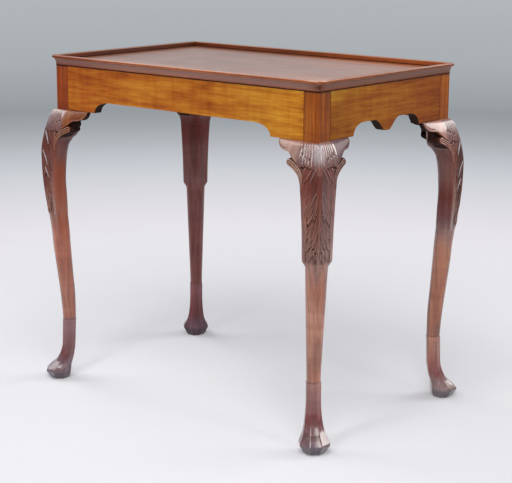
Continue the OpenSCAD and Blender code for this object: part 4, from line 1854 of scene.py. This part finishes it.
@dataclass
class Apron:
    """A rail with its shaped lower edge.

    Rows of the drift hold the place along the side, the tint and the polish. The tints paint
    shade on the right rail, darker than the front one and darkest at its far end, under the rim,
    and darken the front rail towards its left end.
    """

    frame: Frame
    fixings: Fixings
    long_shoulder: float = 81.5
    long_curve: float = 41.0
    short_shoulder: float = 76.0
    short_curve: float = 32.0
    rise: float = 24.5
    pendant_half: float = 46.0
    pendant_tip: float = 6.0
    soft_edge: float = 0.55
    sharp_angle: float = 30.0
    dirt_and_shade: float = 1.15
    seam: tuple[float, ...] = (0.3, 0.2, 0.15, 1)
    seam_width: float = 1.0
    seam_fade: float = 2.4
    first_seed: float = 51.0
    seed_step: float = 1.9
    steps: int = 28
    # Tints along each rail; those of the right rail are painted shade.
    drift: dict = field(default_factory=lambda: {
        Side.FRONT: ((-360, 0.64, 0.55, 0.5, 1), (0, 0.66, 0.65, 0.62, 1),
                     (200, 0.67, 0.77, 0.72, 1), (360, 0.8, 1.03, 0.9, 1)),
        Side.RIGHT: ((-230, 0.53, 0.62, 0.47, 1), (0, 0.48, 0.46, 0.36, 1),
                     (230, 0.39, 0.31, 0.25, 1)),
        Side.BACK: ((-360, 0.8, 0.8, 0.7, 1), (360, 0.8, 0.8, 0.7, 1)),
        Side.LEFT: ((-230, 0.8, 0.8, 0.7, 1), (230, 0.8, 0.8, 0.7, 1))})

    def half_edge(self, edge: Edge, length: float) -> list[tuple[float, float]]:
        """Works out the lower edge of half an apron.

        Args:
            edge: The edge's shape.
            length: The apron's length between its posts.

        Returns:
            Its points, from the post to the middle: X from the middle, Y up from the foot.
        """
        arch = edge is Edge.ARCH
        start = (self.long_shoulder if arch else self.short_shoulder) - length / 2
        run = self.long_curve if arch else self.short_curve
        line = [(-length / 2, 0.0), (start, 0.0)]
        for k in range(1, self.steps + 1):
            a = math.pi / 2 * k / self.steps
            line.append((start + run * (1 - math.cos(a)), self.rise * math.sin(a)))
        if edge is Edge.PENDANT:
            for k in range(self.steps):
                s = k / self.steps
                line.append((-self.pendant_half + (self.pendant_half - self.pendant_tip) * s,
                             self.rise * (1 - float(ease(s**1.35)))))
            line.append((-self.pendant_tip, 0.0))
        return line

    def blank(self, side: Side) -> bpy.types.Mesh:
        """Saws the rail of a side and softens its edges.

        Args:
            side: The side.

        Returns:
            The rail's mesh, in millimetres, with its face at zero.
        """
        length = self.frame.rail(side)
        half = self.half_edge(Edge.ARCH if side.is_long else Edge.PENDANT, length)
        outline = half + [(-x, z) for x, z in half[::-1]]
        outline += [(length / 2, self.frame.rail_height), (-length / 2, self.frame.rail_height)]
        body = bmesh.new()
        front, rear = ([body.verts.new((x, y, self.frame.rail_foot + z)) for x, z in outline]
                       for y in (0, self.frame.rail_thickness))
        body.faces.new(front)
        body.faces.new(rear[::-1])
        rims = []
        for k in range(len(outline)):
            n = (k + 1) % len(outline)
            body.faces.new((front[n], front[k], rear[k], rear[n]))
            rims += [body.edges.get((front[k], front[n])), body.edges.get((rear[k], rear[n]))]
        bmesh.ops.bevel(body, geom=rims, offset=self.soft_edge, segments=2, affect="EDGES")
        return poured(f"apron_{side.name.lower()}", body)

    def cut_pocket(self, blank: bpy.types.Object, seat: Matrix) -> None:
        """Cuts the round pocket for one screw's head into a rail.

        Args:
            blank: The rail.
            seat: The place of the screw.
        """
        cutter = bmesh.new()
        radius = self.fixings.head_d / 2 + self.fixings.pocket_room
        bmesh.ops.create_cone(
            cutter, cap_ends=True, segments=40, radius1=radius, radius2=radius,
            depth=self.fixings.pocket_length,
            matrix=seat @ Matrix.Translation((0, 0, -self.fixings.pocket_length / 2)))
        tool = place_object("pocket", poured("pocket", cutter))
        cut = blank.modifiers.new("pocket", "BOOLEAN")
        cut.operation = "DIFFERENCE"
        cut.solver = "EXACT"
        cut.object = tool
        bpy.context.view_layer.update()
        result = bpy.data.meshes.new_from_object(
            blank.evaluated_get(bpy.context.evaluated_depsgraph_get()))
        blank.modifiers.clear()
        blank.data = result
        bpy.data.objects.remove(tool)

    def mark_dirt_and_shade(self, mesh: bpy.types.Mesh, outward: Vector) -> None:
        """Darkens the sawn lower edge of a rail, which faces down, as painted shade, and its rough
        back, as grime and painted shade.

        Args:
            mesh: The rail's mesh, in metres.
            outward: The way the rail's face looks.
        """
        limit = (self.frame.rail_foot + self.rise + 0.5) * MM
        values = []
        for face in mesh.polygons:
            facing = face.normal.dot(outward)
            sawn = abs(facing) < 0.6 and face.center.z < limit
            # Painted shade on the sawn faces under the rail; grime and painted shade on its back.
            values.append(self.dirt_and_shade if sawn else self.dirt_and_shade * 0.6 if facing < -0.9 else 0.0)
        mesh.attributes.new("recess", "FLOAT", "FACE").data.foreach_set("value", values)

    def seams(self, side: Side) -> list[Row]:
        """Adds the dark lines where a rail meets its posts.

        Args:
            side: The rail's side.

        Returns:
            The rail's tints along it, with the lines.
        """
        rows, end = self.drift[side], self.frame.rail(side) / 2
        dark, clear = end - self.seam_width, end - self.seam_fade
        inner = [row for row in rows if abs(row[0]) < end - 3]
        return [(-end, *self.seam), (-dark, *self.seam), (-clear, *rows[0][1:]), *inner,
                (clear, *rows[-1][1:]), (dark, *self.seam), (end, *self.seam)]

    def build(self, workshop: Workshop) -> None:
        """Builds and dresses the four aprons.

        Args:
            workshop: The workshop that makes the pieces.
        """
        for side in Side:
            name = side.name.lower()
            blank = place_object("blank", self.blank(side))
            for x in self.fixings.screw_places(side):
                self.cut_pocket(blank, self.fixings.seat(x))
            mesh, place = blank.data, self.frame.place(side)
            mesh.transform(Matrix.Scale(MM, 4) @ place)
            tidied(mesh, self.sharp_angle)
            self.mark_dirt_and_shade(mesh, place.to_3x3() @ Vector((0, -1, 0)))
            bpy.data.objects.remove(blank)
            wood = replace(
                RAIL_WOOD, name=f"{RAIL_WOOD.name}_{name}", grain=side.grain,
                seed=self.first_seed + self.seed_step * side.value, zones=self.seams(side),
                zone_axis=side.grain.value[0])
            workshop.piece(f"apron_{name}", mesh, wood)


@dataclass(frozen=True)
class Lamp:
    """A soft rectangular lamp that faces the table: where it hangs, its size and its light."""

    name: str
    azimuth: float
    elevation: float
    size: tuple[float, float]
    radiance: float
    distance: float = 2.7
    colour: Colour = (255, 251, 247)

    def hang(self, target: Vector) -> None:
        """Hangs the lamp.

        Args:
            target: The point that it faces.
        """
        light = bpy.data.lights.new(self.name, "AREA")
        light.shape = "RECTANGLE"
        light.size, light.size_y = self.size
        light.energy = self.radiance * math.pi * self.size[0] * self.size[1]
        light.color = linear(self.colour)[:3]
        way = way_to(self.azimuth, self.elevation)
        made = place_object(self.name, light)
        made.location = target + way * self.distance
        made.visible_camera = False
        made.rotation_mode = "QUATERNION"
        made.rotation_quaternion = (-way).to_track_quat("-Z", "Y")


@dataclass
class Studio:
    """The floor, the backdrop, the lamps and the camera, in metres.

    The shades of the floor go by the distance from its middle, and those of the wall by height.
    """

    wall_radius: float = 4.6
    wall_height: float = 3.4
    cove: float = 0.12
    around: int = 96
    camera_place: Three = (2.00532, -2.37820, 1.03800)
    azimuth: float = 39.83772
    elevation: float = 12.85032
    roll: float = 0.37384
    lens: float = 103.12488
    sensor: float = 36.0
    floor_shades: tuple = (
        (0.0, (236, 235, 240)), (0.9, (236, 235, 240)), (1.75, (230, 228, 233)),
        (2.0, (225, 223, 228)), (2.35, (216, 216, 222)), (2.7, (206, 209, 214)),
        (3.1, (193, 197, 203)), (3.5, (178, 182, 187)), (4.0, (161, 166, 171)),
        (4.6, (148, 153, 158)))
    wall_shades: tuple = (
        (0.0, (151, 156, 161)), (0.25, (169, 174, 178)), (0.6, (179, 183, 188)),
        (1.2, (194, 197, 202)), (1.9, (216, 218, 222)), (3.4, (232, 233, 236)))
    matt: Colour = (222, 225, 231)
    shadow_start: float = 0.5
    shadow_end: float = 1.6
    shadow_share: float = 0.9
    wall_start: float = 0.05
    lamps: tuple[Lamp, ...] = (
        Lamp("front_low", 8, 32, (0.45, 1.4), 6), Lamp("front_high", 10, 62, (0.4, 1.4), 6),
        Lamp("near", 42, 46, (1.0, 2.0), 5.5), Lamp("right", 84, 30, (0.14, 1.4), 8),
        Lamp("left", -78, 38, (2.2, 1.8), 3.0), Lamp("right_back", 143, 27, (1.7, 1.1), 5))
    lamp_target: Three = (0, 0, 0.45)
    plain_colour: Colour = (244, 244, 246)
    plain_light: float = 0.28

    def room_mesh(self) -> bpy.types.Mesh:
        """Builds the round floor and the wall that rises from it.

        Returns:
            The mesh.
        """
        radius = self.wall_radius - self.cove
        profile = [(r, 0.0) for r in (0.6, 1.4, 2.4, 3.4)]
        profile += [(radius + self.cove * math.sin(a), self.cove * (1 - math.cos(a)))
                    for a in np.radians(np.linspace(0, 90, 9))]
        profile += [(self.wall_radius, z) for z in np.linspace(0.4, self.wall_height, 7)]
        turn = np.linspace(0, 2 * np.pi, self.around, endpoint=False)
        rings = np.array([[(r * math.cos(a), r * math.sin(a), z) for a in turn]
                          for r, z in profile])
        faces = [face[::-1] for face in grid_faces(len(profile), self.around, True)]
        mesh = bpy.data.meshes.new("room")
        mesh.from_pydata(rings.reshape(-1, 3).tolist(), [], faces + [list(range(self.around))])
        mesh.polygons.foreach_set("use_smooth", np.ones(len(mesh.polygons), bool))
        return mesh

    def room_material(self) -> bpy.types.Material:
        """Builds the pale finish of the room, which keeps the table's shadow near it.

        Returns:
            The material.
        """
        made = bpy.data.materials.new("pale_room")
        bench = Bench(made)
        place = bench.node("ShaderNodeNewGeometry", {}, {})
        x, y, z = bench.axes(place.outputs["Position"])
        reach = ((x * x + y * y) ** 0.5) / self.wall_radius
        floor, wall = (
            bench.ramp(at, [(step / end, linear(shade)) for step, shade in shades]).outputs["Color"]
            for at, end, shades in (
                (reach, self.wall_radius, self.floor_shades),
                (z / self.wall_height, self.wall_height, self.wall_shades)))
        colour = bench.mix(z.between(0.0, self.wall_start), floor, wall)
        rays = bench.node("ShaderNodeLightPath", {}, {})
        camera, glossy, clear = (Wire(bench, rays.outputs[f"Is {kind} Ray"])
                                 for kind in ("Camera", "Glossy", "Transmission"))
        matt = bench.node("ShaderNodeBsdfDiffuse", {}, {"Color": linear(self.matt)})
        glow = bench.node("ShaderNodeEmission", {}, {"Color": colour, "Strength": 1.0})
        far = (reach * self.wall_radius).between(self.shadow_start, self.shadow_end)
        seen = (camera + glossy + clear).clamped()
        lit = bench.node("ShaderNodeMixShader", {}, {
            0: (far * self.shadow_share + (1 - self.shadow_share)) * seen,
            1: matt.outputs[0], 2: glow.outputs[0]})
        behind = bench.node("ShaderNodeBsdfTransparent", {}, {})
        bench.surface(bench.node("ShaderNodeMixShader", {}, {
            0: place.outputs["Backfacing"], 1: lit.outputs[0], 2: behind.outputs[0]}))
        return made

    def room(self) -> None:
        """Builds the room."""
        mesh = self.room_mesh()
        mesh.materials.append(self.room_material())
        made = place_object("room", mesh)
        made.visible_shadow = False

    def lights(self) -> None:
        """Hangs the lamps and sets the world's plain light."""
        for lamp in self.lamps:
            lamp.hang(Vector(self.lamp_target))
        world = bpy.data.worlds.new("plain_light")
        bpy.context.scene.world = world
        bench = Bench(world)
        glow = bench.node("ShaderNodeBackground", {}, {
            "Color": linear(self.plain_colour), "Strength": self.plain_light})
        bench.node("ShaderNodeOutputWorld", {}, {"Surface": glow.outputs[0]})

    def camera(self) -> None:
        """Stands the camera where the photograph was taken from."""
        around, tilt = math.radians(self.azimuth), math.radians(self.roll)
        back = way_to(self.azimuth, self.elevation)
        level = Vector((math.cos(around), math.sin(around), 0.0))
        right = math.cos(tilt) * level + math.sin(tilt) * back.cross(level)
        data = bpy.data.cameras.new("camera")
        data.lens = self.lens
        data.sensor_width = self.sensor
        data.clip_start, data.clip_end = 0.05, 60.0
        made = place_object("camera", data)
        turn = Matrix((right, back.cross(right), back)).transposed().to_4x4()
        made.matrix_world = Matrix.Translation(self.camera_place) @ turn
        bpy.context.scene.camera = made

    def build(self) -> None:
        """Sets up the whole studio."""
        self.camera()
        self.room()
        self.lights()
        bpy.context.scene.view_settings.view_transform = "Standard"
        LOG.info("studio: camera, room and lamps")


def main() -> None:
    logging.basicConfig(level=logging.INFO, format="%(name)s: %(message)s")
    Studio().build()
    workshop = Workshop()
    carcass = Frame()
    leg, fixings = Leg(carcass), Fixings(carcass)
    for part in (leg, KneeBlock(carcass, leg), Rim(carcass), Board(carcass),
                 Apron(carcass, fixings), fixings):
        part.build(workshop)
    LOG.info("%d pieces made", len(workshop.made))


if __name__ == "__main__":
    main()
